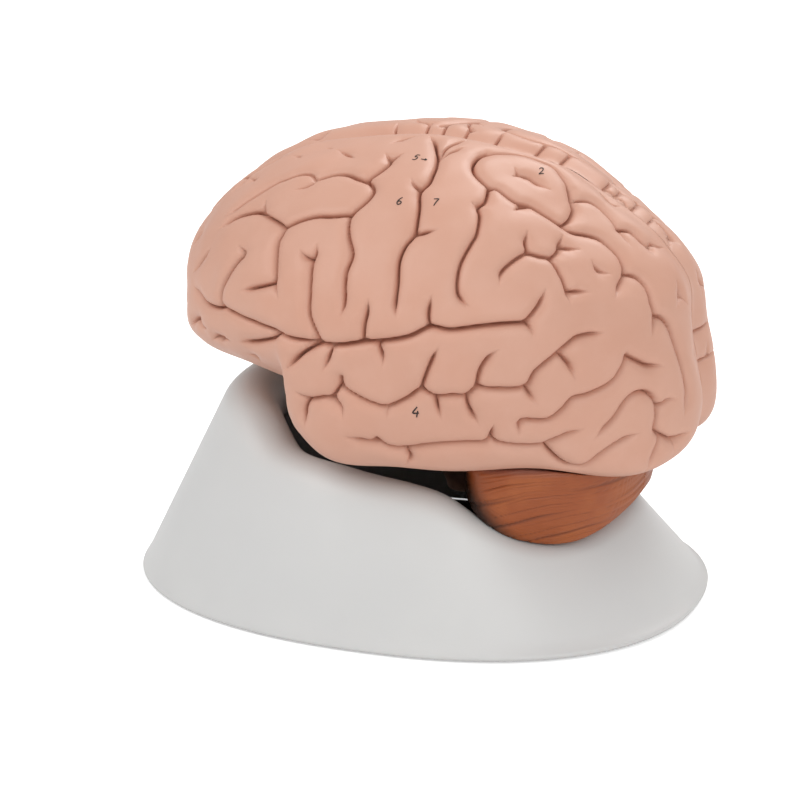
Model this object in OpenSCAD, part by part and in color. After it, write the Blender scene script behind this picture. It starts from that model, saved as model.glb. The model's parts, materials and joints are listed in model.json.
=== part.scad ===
// Life-size teaching model of the human brain, cast in two halves that meet on the middle plane,
// resting on a hollow moulded stand. Millimetres. The front of the brain looks along -Y, its left
// side faces +X, and the stand rests on Z = 0.

/* [Brain] */
// Centre of the brain measured back from the middle of the stand
brain_y = 5; // [3:0.5:6]
// Height of the centre of the brain above the table
brain_z = 96; // [96:0.5:99]
// Reach of one half sideways from the middle plane
half_w = 67; // [62:0.5:70]
// Reach of the brain forward from its centre
front_reach = 77; // [73:0.5:80]
// Reach of the brain backward from its centre
rear_reach = 81; // [77:0.5:84]
// Rise of the brain above its centre
top_rise = 45; // [41:0.5:49]
// Drop from the centre to the flat underside
under_drop = 44; // [42:0.5:44]
// Space between the two flat inner faces
middle_gap = 0.3; // [0.2:0.05:0.6]
// Radius lost where the surface rolls over into the middle fissure
fissure_drop = 3; // [1:0.5:5]

/* [Furrows] */
// Depth of the main furrows
furrow_depth = 4; // [1:0.2:5]
// Half width of the main furrows
furrow_w = 2; // [1:0.1:3]
// Depth of the fine furrows
fine_depth = 1.8; // [0.5:0.1:3]
// Depth of the relief on the inner faces
relief_depth = 1.6; // [0.5:0.1:3]
// Width of the furrows on the inner faces
relief_w = 2.4; // [1:0.1:4]

/* [Cerebellum] */
// Half width of the cerebellum
cereb_half_w = 42; // [38:0.5:44]
// Half length of the cerebellum
cereb_half_l = 26; // [24:0.5:27]
// Depth of the cerebellum below its widest level
cereb_depth = 26; // [20:0.5:27]
// Centre of the cerebellum behind the centre of the brain
cereb_back = 42; // [41:0.5:44]
// Widest level of the cerebellum below the centre of the brain
cereb_drop = 46; // [45:0.5:46]
// Depth of the grooves between its leaves
leaf_depth = 0.9; // [0.2:0.1:1.5]
// Space where one cast piece is seated on another
seat_gap = 0.5; // [0.4:0.1:0.8]

/* [Stem] */
// Half width of the brain stem at the pons
pons_half_w = 13; // [10:0.5:14]
// Half width of the brain stem at its lower end
stem_end_half_w = 6.5; // [5:0.5:8]
// How far the lower end of the stem lies below the middle of the brain
stem_end_drop = 66; // [62:0.5:70]

/* [Pegs] */
// Diameter of the locating pegs
peg_d = 6; // [4:0.5:8]
// Length that a peg sticks out of the left half
peg_out = 7; // [4:0.5:9]
// Length that a peg is sunk into the left half
peg_in = 8; // [4:0.5:12]
// Play between a peg and its hole in the right half, across the diameter
peg_play = 0.2; // [0.05:0.05:0.6]
// Glue round a peg in the left half
glue_line = 0.1; // [0.05:0.05:0.2]
// Space past the end of each peg in its holes
peg_end_gap = 0.5; // [0.3:0.1:1]

/* [Stand] */
// Length of the foot of the stand
foot_len = 175; // [168:1:185]
// Width of the foot of the stand
foot_w = 138; // [132:1:146]
// Wall of the stand
stand_wall = 3; // [2:0.25:4]
// Radius of the rolled rim
rim_r = 9.5; // [7:0.25:10]
// Front of the rim line ahead of the middle of the stand
rim_front = 51; // [48:0.5:53]
// Rear of the rim line behind the middle of the stand
rim_rear = 61; // [59:0.5:63]
// Half width of the rim line
rim_half_w = 45.5; // [44:0.5:48]

/* [Hidden] */

FLESH = [0.83, 0.63, 0.54];
TERRACOTTA = [0.62, 0.34, 0.22];
IVORY = [0.86, 0.80, 0.70];
STAND_GREY = [0.84, 0.84, 0.83];
STEEL = [0.75, 0.76, 0.78];

// Cells along one side of the grid that wraps a half
grid_n = 35;
// Part of a grid cell within which a vertex is drawn onto a furrow, and how far it goes there
snap_reach = 0.45;
snap_share = 0.6;
// Rounding of the edges between the dome and the planes cut into its underside
edge_power = 14;
low_reach = 88;
fissure_deg = 5;
mid_half = middle_gap / 2;
brain_c = [0, brain_y, brain_z];

// Planes that shape the underside: normal, distance from the centre and where each one cuts,
// 0 everywhere, 1 only ahead of the temporal lobe, 2 only on the temporal lobe
UNDER_PLANES = [
    [[0, 0, -1], under_drop, 0],
    [[0.4, -0.25, -0.88], under_drop + 1, 1],
    [[-0.73, -0.08, -1], under_drop - 18, 0],
    [[0.1, -0.7, -0.7], under_drop + 2.5, 2]];
// Front edge of the temporal lobe on the map, and the width over which it steps out
LOBE_TOP = [-24, -8];
LOBE_FOOT = [-22, -40];
lobe_step = 3;
// Swellings and hollows: place on the map, spread both ways, height, 1 for the temporal lobe only
SWELLS = [
    [-20, -32, 16, 14, 4, 1], [60, -39, 14, 12, 9, 0], [66, 25, 22, 24, -7.5, 0],
    [-78, 24, 12, 20, -1.2, 0], [-62, -14, 14, 10, 2.4, 0], [80, -36, 14, 20, 8.5, 0],
    [46, 44, 14, 12, -1.6, 0]];

// Main furrows of the outer face. A point is [backward, upward] in degrees on a map of the half
// brain whose middle is its side pole and whose edge, at 90 degrees, is the middle plane.
FURROWS = [
    // side fissure with its rising and falling branches
    [[38, 5], [33, 5], [27, 4.5], [20, 3.5], [15, 4], [10, 1.5], [4, 0], [-2, -1], [-8, -2.5],
     [-13, -3], [-17, -5], [-20, -7.5], [-23, -11]],
    [[38, 5.5], [40, 7.5], [42, 10], [43.5, 13]], [[38, 5], [39, 3.5], [39.5, 1.5]],
    [[15, 4], [14.5, 7], [15, 12]], [[-2, -1], [-1.5, 4], [-1, 7], [-1, 10]],
    // central furrow
    [[-1, 79.5], [3, 76], [6.5, 69], [8, 65.5], [9.5, 58], [9.5, 53], [9, 48], [7, 44.5],
     [7, 42], [8, 38], [8.5, 33], [8.5, 28], [6.5, 24.5], [5.5, 20], [6, 14], [6, 9], [6.5, 6]],
    [[8.5, 28], [12, 29], [15, 30]], [[7, 44.5], [4, 46.5], [2.5, 48.5]],
    // furrow behind the central one
    [[31, 48], [30, 43], [29, 40.5], [27, 38.5], [27.5, 35], [26.5, 29], [25, 26], [22.5, 21],
     [21.5, 17], [21.5, 13], [22.5, 11], [24.5, 9]], [[27, 38.5], [25, 40]],
    // furrow ahead of the central one
    [[-15, 46.5], [-12, 45], [-9.5, 42], [-10, 38], [-13, 32.5], [-12.5, 29], [-10.5, 25],
     [-8, 20.5], [-8.5, 16], [-8, 12], [-7.5, 8], [-8, 5]],
    [[-15, 46.5], [-12, 52], [-10.5, 56], [-11, 59]], [[-11, 59], [-15, 62]],
    [[-11, 59], [-7, 63]], [[-15, 46.5], [-19, 47], [-24, 48], [-29, 47], [-33, 44]],
    [[-13, 32.5], [-19, 31], [-24, 30], [-29, 27.5], [-33.5, 24.5]],
    // frontal lobe
    [[-61, 20], [-57, 23.5], [-52, 26], [-47, 27], [-41, 26.5], [-33.5, 24.5], [-33, 20],
     [-31.5, 16], [-30, 10], [-33, 8.5], [-39.5, 5.5]], [[-47, 27], [-46.5, 29], [-47, 31.5]],
    [[-30, 10], [-28, 8.5], [-26, 6.5]],
    [[-19, 22], [-18.5, 19.5], [-19, 17.5], [-18.5, 14], [-17.5, 8], [-17, 4], [-15, 0],
     [-13, -3]], [[-19, 17.5], [-21, 18], [-23.5, 19.5]],
    [[-49.5, 16.5], [-46, 14.5], [-48, 10], [-49.5, 5], [-48.5, 2], [-46, 0], [-40, -1],
     [-33, -1.5], [-27, -2], [-23, -3], [-19, -3], [-14, -2.5]],
    [[-46, 0], [-49, -2], [-53, -2], [-58, 0]], [[-26, -2], [-27, -4.5], [-31, -5.5], [-38, -7]],
    // loop on the upper side lobe
    [[30, 68.5], [26.5, 66], [24.5, 61], [25, 56], [27.5, 52], [31, 48], [34, 47], [38, 43],
     [41, 41], [45, 40], [50, 36], [54, 32], [58, 28], [62, 25], [65, 20], [65.5, 17],
     [64.5, 14], [62, 11], [60, 9]], [[41, 40.5], [39, 38.5]],
    [[54, 32], [58, 34], [61, 38], [61, 42], [61, 47]],
    [[40.5, 56], [45, 55], [49, 51], [53, 48]], [[42, 59], [44, 56]],
    // arch behind the end of the side fissure
    [[32, 15], [32.5, 17.5], [35, 20], [39, 22.5], [41, 23], [44, 22], [47, 20.5], [48.5, 16],
     [49, 12], [49, 9]], [[41, 23], [41, 26], [42, 30]],
    [[47, 20.5], [50, 23], [50.5, 25], [52, 28.5]], [[50.5, 24], [52.5, 24], [55, 23]],
    [[49, 11.5], [51, 11.5], [54, 11]], [[57, 19], [58, 16.5], [60, 15.5]],
    // rear arches
    [[64.5, 14], [68, 13], [70, 9], [70, 4], [69.5, 0], [68.5, -3]],
    [[70, 2], [73, 0], [75, -6], [76, -12], [76.5, -18], [75.5, -23], [73.5, -27]],
    [[82, 9], [82, 6], [81, 4], [79, 2]], [[69, 29], [71, 27], [74, 24], [76, 20]],
    // upper furrow of the temporal lobe
    [[-8, -11], [-8, -12.5], [-7, -14], [-4, -15.5], [0, -17], [4, -17.5], [9, -15],
     [12.5, -12.5], [16, -14], [20, -13.5], [23.5, -13.5], [26, -11.5], [30, -12], [37.5, -12],
     [40, -8], [44, -4.5], [48, -1.5], [51, 0], [57, 0]],
    [[-20, -16.5], [-17, -18], [-13, -17], [-10.5, -16.5], [-8, -12.5]],
    [[-17, -18], [-18, -21], [-18, -25]], [[-11, -17.5], [-9.5, -19.5], [-8, -22]],
    [[12.5, -12.5], [14, -8], [16, -3], [17, -1]], [[16, -14], [16.5, -17], [17, -20]],
    [[23.5, -13.5], [24, -17], [26, -21.5]], [[26, -11.5], [27, -7], [29, -3.5], [31, -1.5]],
    [[37.5, -12], [39, -15], [40, -16.5]], [[46, -4], [48, -7], [49, -10.5]],
    [[2, -1], [3, -4], [3, -6.5]], [[-10.5, -4], [-11.5, -7], [-12.5, -9.5]],
    // lower furrows of the temporal lobe
    [[34, -23.5], [35.5, -19], [40, -19], [43, -18.5], [46, -16.5], [48, -15], [52, -14],
     [56, -11.5], [59, -8.5], [61, -5.5]], [[60.5, -7], [63, -9], [66, -11.5], [70, -12.5]],
    [[-8.5, -28.5], [-4, -30.5], [0, -32], [4, -33], [8, -32], [13, -29.5], [20, -28],
     [26, -26], [28.5, -25], [32, -26.5], [40, -26.5], [44, -24.5], [48.5, -23]],
    [[28.5, -25], [29, -20]], [[6, -33], [6.5, -37], [8, -41]],
    [[40.5, -26.5], [42.5, -30], [46, -33], [49, -32.5], [53, -29], [56, -27], [59, -25]],
    // rear lower arch
    [[52, -24.5], [55, -21.5], [57.5, -18.5], [60, -17], [63.5, -17], [65, -20], [65, -25]],
    [[65, -21.5], [68, -20.5], [71, -21.5]], [[65, -28], [67, -31], [70, -31], [73, -31]],
    [[64.5, -30], [62, -34], [60, -36]]];

// Fine furrows of the outer face, and of the underside that the stand hides
FINE_FURROWS = [
    [[-62, 29], [-58, 31], [-53, 34.5], [-49, 37.5], [-47, 41], [-41, 45.5], [-38.5, 45],
     [-36, 43]], [[-40, 37], [-37.5, 39], [-34.5, 41.5]], [[-57.5, 52], [-54, 51]],
    [[-71, 36.5], [-67, 36]], [[-45, 59], [-42, 59.5]], [[-39, 59.5], [-33.5, 58.5], [-27.5, 57]],
    [[6.5, 69], [8, 73], [11.5, 76.5], [15, 80]], [[9, 66], [12.5, 67.5], [16, 70.5], [18.5, 73]],
    [[30, 68.5], [38, 69], [45.5, 67.5], [52, 63], [57, 59], [60, 52], [61, 47]],
    [[61, 41], [65.5, 40], [68, 36], [69, 30]], [[75, 40], [77, 37]],
    [[-62, 12], [-64, 8], [-65, 3]], [[76.5, 22], [76, 17.5]],
    [[-68, -34], [-60, -40], [-50, -46]], [[-50, -30], [-56, -42]],
    [[-10, -50], [5, -56], [22, -57], [38, -52], [50, -46]], [[0, -66], [20, -70], [36, -66]]];

// The right half is the mirror of the left with its furrows shifted a little, in degrees
shift_deg = 2.5;
// Furrows that cross the upper edge of the right half, as angles round the middle plane
RIM_TICKS = [110, 97, 90, 80.5, 68, 53, 45, 31, 27, 22, 18, -8, -14];

// Half relief on the inner faces: points are [backward, upward] from the centre of the brain
BELT = [[-57, -10], [-55, 5], [-46, 18], [-28, 27], [-4, 30], [20, 27], [36, 22], [46, 26],
        [50, 36]];
CALLOSAL = [[-24, -16], [-34, -12], [-40, -2], [-36, 8], [-22, 15], [0, 17.5], [20, 14],
            [34, 6], [40, -3], [36, -10]];
REAR_CLEFT = [[60, 30], [52, 14], [44, 0], [37, -12]];
SPUR = [[79, -10], [66, -15], [54, -16], [42, -9]];
FRONT_CREASES = [[[-70, -6], [-62, 10]], [[-62, 17], [-50, 30]], [[-30, 34], [-28, 42]],
                 [[4, 34], [6, 42]], [[24, 32], [22, 42]], [[66, 13], [76, 16]]];
VENTRICLE = [[-30, -6], [-27, 3], [-14, 8], [2, 10], [18, 7], [29, 0], [24, -8], [10, -14],
             [-8, -16], [-22, -13]];

// Tree of white matter on the inner face of the cerebellum
LEAF_TREE = [[[26, -44], [38, -46], [48, -49]], [[38, -46], [46, -39]], [[42, -47], [58, -43]],
    [[48, -49], [64, -51]], [[47, -49], [56, -58]], [[40, -46.5], [44, -59]]];

// How far the rim of the stand lies below the middle of the brain, so that it carries the brain at
// any height, against the distance back from the middle of the stand
RIM_DROPS = [[-90, 32], [-52, 32], [-45, 33], [-38, 35.5], [-30, 39.5], [-22, 44.3], [-14, 45.5],
    [-5, 46.5], [10, 48.5], [21, 51.5], [31, 56.5], [40, 62.5], [48, 66], [56, 67], [63, 65.5],
    [68, 63], [74, 59], [90, 59]];
foot_power = 2.25;
rim_power = 2.2;
foot_taper = 0.04;
stand_steps = 44;
rim_end_deg = 205;
roll_steps = 6;
cut_below = 4;

// Half a brain as a star-shaped surface about brain_c

function dir_of(m) = let (rho = norm(m), k = rho < 0.001 ? 0 : sin(rho) / rho)
    [cos(rho), k * m[0], k * m[1]];
function map_of(d) = let (rho = acos(min(1, d[0])), s = norm([d[1], d[2]]))
    s < 0.0001 ? [0, 0] : rho * [d[1], d[2]] / s;
function disc_of(s, t) = 90 * [s * sqrt(1 - t * t / 2), t * sqrt(1 - s * s / 2)];

// 1 ahead of the temporal lobe and 0 on it
function ahead_of_lobe(m) = let (e = LOBE_FOOT - LOBE_TOP, p = m - LOBE_TOP,
    off = (p[0] * e[1] - p[1] * e[0]) / norm(e)) 1 / (1 + exp(-4 * off / lobe_step));

function add(v, i = 0) = i < len(v) ? v[i] + add(v, i + 1) : 0;

function smooth_radius(d) = let (
    m = map_of(d),
    ahead = ahead_of_lobe(m),
    along = d[1] / (d[1] < 0 ? front_reach : rear_reach),
    upward = d[2] / (d[2] < 0 ? low_reach : top_rise),
    dome = norm([d[0] / half_w, along, upward]),
    cuts = [for (p = UNDER_PLANES) let (reach = max(0, d * p[0] / norm(p[0]) / p[1]))
        p[2] == 2 ? (1 - ahead) * pow(reach, edge_power)
                  : pow(reach * (p[2] == 1 ? ahead : 1), edge_power)],
    swells = [for (b = SWELLS) b[4] * (b[5] == 1 ? 1 - ahead : 1)
        * exp(-pow((m[0] - b[0]) / b[2], 2) - pow((m[1] - b[1]) / b[3], 2))])
    pow(pow(dome, edge_power) + add(cuts), -1 / edge_power) + add(swells)
    - fissure_drop * exp(-pow((90 - norm(m)) / fissure_deg, 2));

function shifted(m) = m + shift_deg * [sin(3 * m[1] + 20), sin(3 * m[0] + 50)];
function tick(a) = [for (rho = [79, 85, 92]) rho * [cos(a), sin(a)]];
function lines_of(side, set, ticks) = side > 0 ? set : concat(
    [for (line = set) [for (m = line) shifted(m)]], ticks ? [for (a = RIM_TICKS) tick(a)] : []);

// A furrow ready for measuring: its directions, their middle and the reach round that middle
function prepared(lines) = [for (line = lines) let (
    pts = [for (m = line) dir_of(m)], mid = (pts[0] + pts[len(pts) - 1]) / 2,
    reach = max([for (p = pts) norm(p - mid)])) [pts, mid, reach]];

function on_segment(p, a, b) = let (e = b - a, t = min(1, max(0, (p - a) * e / (e * e)))) a + t * e;
function nearer(p, pts, best, i = 0) = i >= len(pts) - 1 ? best :
    let (q = on_segment(p, pts[i], pts[i + 1]))
    nearer(p, pts, norm(p - q) < norm(p - best) ? q : best, i + 1);
function nearest(p, furrows, best, i = 0) = i >= len(furrows) ? best :
    let (f = furrows[i])
    nearest(p, furrows, norm(p - f[1]) > f[2] + norm(p - best) ? best : nearer(p, f[0], best),
        i + 1);

module half_brain(side) {
    far = [9, 9, 9];
    main = prepared(lines_of(side, FURROWS, false));
    fine = prepared(lines_of(side, FINE_FURROWS, true));
    cell = 2 / grid_n;
    lattice = [for (j = [0 : grid_n], i = [0 : grid_n])
        let (d = dir_of(disc_of(-1 + i * cell, -1 + j * cell)),
             edge = i == 0 || j == 0 || i == grid_n || j == grid_n,
             q = nearest(d, main, far),
             pull = norm(d - q) < snap_reach * cell * 1.4 && !edge ? snap_share : 0,
             moved = d + pull * (q - d), e = moved / norm(moved),
             r = smooth_radius(e),
             w = furrow_w / r,
             main_cut = furrow_depth * exp(-pow(norm(e - q) / w, 2) / 2),
             fine_cut = fine_depth * exp(-pow(norm(e - nearest(e, fine, far)) / w, 2) / 2))
        brain_c + (r - max(main_cut, fine_cut)) * e];
    row = grid_n + 1;
    count = row * row;
    rim = concat([for (i = [0 : grid_n - 1]) i], [for (j = [0 : grid_n - 1]) j * row + grid_n],
        [for (i = [grid_n : -1 : 1]) grid_n * row + i], [for (j = [grid_n : -1 : 1]) j * row]);
    // each cell is split along the diagonal that joins its lower pair of corners
    cells = [for (j = [0 : grid_n - 1], i = [0 : grid_n - 1])
        let (a = j * row + i, b = a + 1, c = a + row + 1, d = a + row,
             ac = norm(lattice[a] - brain_c) + norm(lattice[c] - brain_c),
             bd = norm(lattice[b] - brain_c) + norm(lattice[d] - brain_c))
        each ac < bd ? [[a, c, b], [a, d, c]] : [[a, d, b], [b, d, c]]];
    back = [for (k = [0 : len(rim) - 1]) [rim[k], rim[(k + 1) % len(rim)], count]];
    mirror([side > 0 ? 0 : 1, 0, 0])
        polyhedron(concat(lattice, [brain_c]), concat(cells, back));
}

// A flat ribbon that follows a path of points
function side_way(pts, i) = let (a = pts[max(0, i - 1)], b = pts[min(len(pts) - 1, i + 1)],
    e = (b - a) / norm(b - a)) [-e[1], e[0]];
module ribbon(pts, w) {
    polygon(concat([for (i = [0 : len(pts) - 1]) pts[i] + side_way(pts, i) * w / 2],
        [for (i = [len(pts) - 1 : -1 : 0]) pts[i] - side_way(pts, i) * w / 2]));
}

// Carries a drawing with x backward and y upward onto the inner face of the left half
module on_inner_face(depth) {
    translate([mid_half, brain_y, brain_z]) rotate([90, 0, 90])
        translate([0, 0, -1]) linear_extrude(depth + 1) children();
}

module inner_relief() {
    on_inner_face(relief_depth) {
        for (line = [BELT, CALLOSAL, REAR_CLEFT, SPUR]) ribbon(line, relief_w);
        for (line = FRONT_CREASES) ribbon(line, relief_w * 0.7);
        difference() {
            polygon(VENTRICLE);
            translate([2, -4]) scale([1.5, 1]) circle(7, $fn = 32);
        }
    }
}

PEG_PLACES = [[-48, -2], [58, 8]];
module peg_hole(place, d, depth) {
    translate([-1, brain_y + place[0], brain_z + place[1]]) rotate([0, 90, 0])
        cylinder(d = d, h = depth + 1, $fn = 48);
}

module cerebrum(side, hole_d, hole_depth) {
    difference() {
        half_brain(side);
        mirror([side > 0 ? 0 : 1, 0, 0]) {
            translate([mid_half - 50, -150, 0]) cube([50, 300, 200]);
            inner_relief();
            for (place = PEG_PLACES) peg_hole(place, hole_d, hole_depth);
        }
    }
}

module left_cerebrum() {
    color(FLESH) cerebrum(1, peg_d + 2 * glue_line, mid_half + peg_in + peg_end_gap);
}

module right_cerebrum() {
    color(FLESH) cerebrum(-1, peg_d + peg_play, peg_out + peg_end_gap);
}

// Lowers a point until it is clear of the underside of the brain
function lowered(p, room, n = 0) = let (d = p - brain_c,
    r = smooth_radius([abs(d[0]), d[1], d[2]] / norm(d)) + room)
    n > 80 || norm(d) >= r ? p : lowered(p - [0, 0, 0.3], room, n + 1);

// Height of the rim of the stand at a distance back from its middle
function rim_height(y) = brain_z - lookup(y, RIM_DROPS);

// Cerebellum: its leaves run out from a point at its front corner and round to the middle plane
cereb_c = [0, brain_y + cereb_back, brain_z - cereb_drop];
LEAF_ROOT = [0.9, -0.42, -0.1];
leaf_count = 44;
leaf_steps = 8;
cereb_power = 3;
cereb_rise = 4;
// Share by which the cerebellum is narrower at its rear end than at its middle
cereb_taper = 0.25;
rest_gap = 0.9;
// Extra room under the brain, because the flat cells of its grid stand out past its smooth form
cell_room = 2.3;
// Steepness with which the underside may reach down inside the opening of the stand
opening_slope = 60;
// Sideways travel over which the right half has to clear the rim of the stand
slide_room = 23;
// Where a point lies in the opening of the stand, as a share of the way out to its inner edge
function opening_share(p) = let (
    room = rim_r + 2 * rest_gap,
    x = abs(p[0]) / (rim_half_w - room),
    y = abs(p[1] - (rim_rear - rim_front) / 2) / ((rim_front + rim_rear) / 2 - room))
    pow(pow(x, rim_power) + pow(y, rim_power), 1 / rim_power);
// Lowest height that keeps a point clear of the stand: it may reach down into the opening, the
// right half only where it stays inside the opening while it slides off sideways
function floor_under(p, side) = rim_height(p[1]) + rest_gap
    - opening_slope * max(0, 1 - opening_share(p + [side > 0 ? 0 : slide_room, 0, 0]));
function blend(a, b, t) = let (w = acos(a * b / norm(a) / norm(b)))
    (sin((1 - t) * w) * a / norm(a) + sin(t * w) * b / norm(b)) / sin(w);
function cereb_point(i, t, side) = let (
    a = 360 * i / leaf_count,
    d = blend(LEAF_ROOT, [0, cos(a), sin(a)], t),
    size = [cereb_half_w, cereb_half_l, d[2] < 0 ? cereb_depth : cereb_rise]
        - leaf_depth * (i % 2) * min(1, 3 * t) * [1, 1, 1],
    k = pow(pow(abs(d[0]) / size[0], cereb_power) + pow(abs(d[1]) / size[1], cereb_power)
        + pow(abs(d[2]) / size[2], cereb_power), -1 / cereb_power),
    even = k * d,
    narrow = 1 - cereb_taper * even[1] / cereb_half_l,
    p = lowered(cereb_c + [even[0] * narrow, even[1], even[2]], seat_gap + cell_room))
    [p[0], p[1], max(p[2], min(floor_under(p, side), cereb_c[2] - 1))];

module cerebellum(side) {
    row = leaf_steps;
    root = leaf_count * row;
    pts = concat([for (i = [0 : leaf_count - 1], j = [1 : row]) cereb_point(i, j / row, side)],
        [cereb_point(0, 0, side), cereb_c - [0, 0, 6]]);
    cells = [for (i = [0 : leaf_count - 1], j = [0 : row - 1])
        let (n = (i + 1) % leaf_count, c = i * row + j, d = n * row + j)
        each j == 0 ? [[root, d, c]] : [[c - 1, d, c], [c - 1, d - 1, d]]];
    back = [for (i = [0 : leaf_count - 1]) [i * row + row - 1,
        ((i + 1) % leaf_count) * row + row - 1, root + 1]];
    difference() {
        polyhedron(pts, concat(cells, back));
        translate([mid_half - 50, -150, 0]) cube([50, 300, 200]);
        on_inner_face(relief_depth) for (line = LEAF_TREE) ribbon(line, relief_w * 0.6);
    }
}

module left_cerebellum() {
    color(TERRACOTTA) cerebellum(1);
}

module right_cerebellum() {
    color(TERRACOTTA) mirror([1, 0, 0]) cerebellum(-1);
}

// Brain stem: height above its lower end as a share, middle, half width share and half depth
STEM_RINGS = [[0, 17, 0, 6], [0.15, 16.5, 0.1, 6.5], [0.35, 15, 0.35, 7.5], [0.45, 12.5, 0.8, 9.5],
    [0.6, 11, 1, 11], [0.8, 11, 0.95, 10.5], [0.9, 12.5, 0.7, 9], [1.3, 12.5, 0.6, 8.5]];
// How far the place at share 1 of the stem lies below the middle of the brain
stem_top_drop = 44;
stem_steps = 24;
module stem() {
    rings = [for (s = STEM_RINGS) [for (i = [0 : stem_steps - 1])
        let (a = 360 * i / stem_steps,
             w = stem_end_half_w + s[2] * (pons_half_w - stem_end_half_w))
        lowered([w * sin(a), brain_y + s[1] - 8 + s[3] * cos(a),
            brain_z - stem_end_drop + s[0] * (stem_end_drop - stem_top_drop)], seat_gap)]];
    difference() {
        loft(rings, false);
        translate([mid_half - 50, -150, 0]) cube([50, 300, 200]);
    }
}

// Skin over a row of rings, closed by end caps or joined round on itself
module loft(rings, round) {
    n = len(rings[0]);
    rows = len(rings);
    last = round ? rows - 1 : rows - 2;
    cells = [for (j = [0 : last], i = [0 : n - 1])
        let (a = j * n + i, b = j * n + (i + 1) % n,
             c = ((j + 1) % rows) * n + (i + 1) % n, d = ((j + 1) % rows) * n + i)
        each [[a, b, c], [a, c, d]]];
    caps = round ? [] : [[for (i = [n - 1 : -1 : 0]) i], [for (i = [0 : n - 1]) (rows - 1) * n + i]];
    polyhedron([for (r = rings) each r], concat(cells, caps));
}

module left_brain_stem() {
    color(IVORY) stem();
}

module right_brain_stem() {
    color(IVORY) mirror([1, 0, 0]) stem();
}

module peg(place) {
    color(STEEL) translate([-peg_out, brain_y + place[0], brain_z + place[1]])
        rotate([0, 90, 0]) cylinder(d = peg_d, h = peg_out + peg_in, $fn = 48);
}

// Stand: a hollow skirt whose top rolls inward, its rim lower at the back than at the front
function oval(a, power, half_x, half_y) = let (
    k = pow(pow(abs(sin(a)), power) + pow(abs(cos(a)), power), -1 / power))
    [half_x * k * sin(a), half_y * k * cos(a)];
function stand_section(a) = let (
    even = oval(a, foot_power, foot_w / 2, foot_len / 2),
    foot = [even[0] * (1 + foot_taper * (2 * even[1] / foot_len - 0.3)), even[1]],
    line = oval(a, rim_power, rim_half_w, (rim_front + rim_rear) / 2)
        + [0, (rim_rear - rim_front) / 2],
    z = rim_height(line[1]) - rim_r,
    out = (foot - line) / norm(foot - line),
    run = norm(foot - line),
    lean = atan2(run - rim_r, z),
    drop = cut_below * tan(lean),
    step = (rim_end_deg - lean) / roll_steps,
    outer = [for (i = [0 : roll_steps]) let (b = lean + i * step)
        [rim_r * cos(b), z + rim_r * sin(b)]],
    inner = [for (i = [roll_steps : -1 : 0]) let (b = lean + i * step)
        [(rim_r - stand_wall) * cos(b), z + (rim_r - stand_wall) * sin(b)]],
    profile = concat([[run + drop, -cut_below]], outer, inner,
        [[run + drop - stand_wall / cos(lean), -cut_below]]))
    [for (q = profile) [line[0] + q[0] * out[0], line[1] + q[0] * out[1], q[1]]];

module base() {
    color(STAND_GREY) intersection() {
        loft([for (i = [stand_steps : -1 : 1]) stand_section(360 * i / stand_steps)], true);
        translate([-200, -200, 0]) cube([400, 400, 200]);
    }
}

base();
left_cerebrum();
right_cerebrum();
left_cerebellum();
right_cerebellum();
left_brain_stem();
right_brain_stem();
peg(PEG_PLACES[0]);  // front_peg
peg(PEG_PLACES[1]);  // rear_peg
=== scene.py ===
"""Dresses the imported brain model: a life-size teaching brain in two halves on a moulded stand.

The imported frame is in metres, with the front of the brain towards -Y, its left side towards +X
and the foot of the stand on Z = 0. Shapes are worked out in millimetres and stored in metres.
"""
import json
import math

import bpy
import numpy as np
from bpy.props import FloatProperty, FloatVectorProperty, IntProperty, PointerProperty
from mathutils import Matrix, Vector

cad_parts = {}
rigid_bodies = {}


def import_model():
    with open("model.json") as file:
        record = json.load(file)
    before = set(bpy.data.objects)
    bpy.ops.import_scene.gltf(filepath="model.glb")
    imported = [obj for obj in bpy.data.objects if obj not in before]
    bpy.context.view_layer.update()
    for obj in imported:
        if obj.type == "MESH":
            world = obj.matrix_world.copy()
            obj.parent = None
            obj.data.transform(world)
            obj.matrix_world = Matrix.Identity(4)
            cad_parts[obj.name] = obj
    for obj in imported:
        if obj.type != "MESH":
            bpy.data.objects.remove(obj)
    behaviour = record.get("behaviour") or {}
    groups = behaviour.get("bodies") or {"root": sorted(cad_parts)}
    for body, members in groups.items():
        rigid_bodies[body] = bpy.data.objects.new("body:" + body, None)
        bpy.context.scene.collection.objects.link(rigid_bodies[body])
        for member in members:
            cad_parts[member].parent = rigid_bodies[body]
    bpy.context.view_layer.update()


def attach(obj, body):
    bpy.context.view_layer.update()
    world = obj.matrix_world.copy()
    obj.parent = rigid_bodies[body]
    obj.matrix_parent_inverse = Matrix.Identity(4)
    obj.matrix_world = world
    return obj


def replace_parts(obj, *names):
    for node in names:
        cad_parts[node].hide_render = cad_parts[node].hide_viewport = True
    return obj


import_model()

bl_info = {
    "name": "Brain Model on a Stand",
    "version": (1, 0, 0),
    "blender": (4, 5, 0),
    "location": "View3D > Sidebar > Brain Model",
    "description": "Builds the dressed surfaces and finishes of a two-part teaching brain",
    "category": "Add Mesh",
}

MM = 0.001

# Shape of the brain
# Normal and distance of each plane that shapes the underside, and where it cuts: 0 everywhere,
# 1 only ahead of the temporal lobe, 2 only on the temporal lobe.
UNDER_PLANES = (((0, 0, -1), 44, 0), ((0.4, -0.25, -0.88), 45, 1),
                ((-0.73, -0.08, -1), 26, 0), ((0.1, -0.7, -0.7), 46.5, 2))
EDGE_POWER = 14
# Front edge of the temporal lobe on the map, and the stretch over which it blends, in degrees.
LOBE_TOP = np.array((-24.0, -8.0))
LOBE_FOOT = np.array((-22.0, -40.0))
LOBE_BLEND = 0.75
FISSURE_ROLL_DEG = 5
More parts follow.
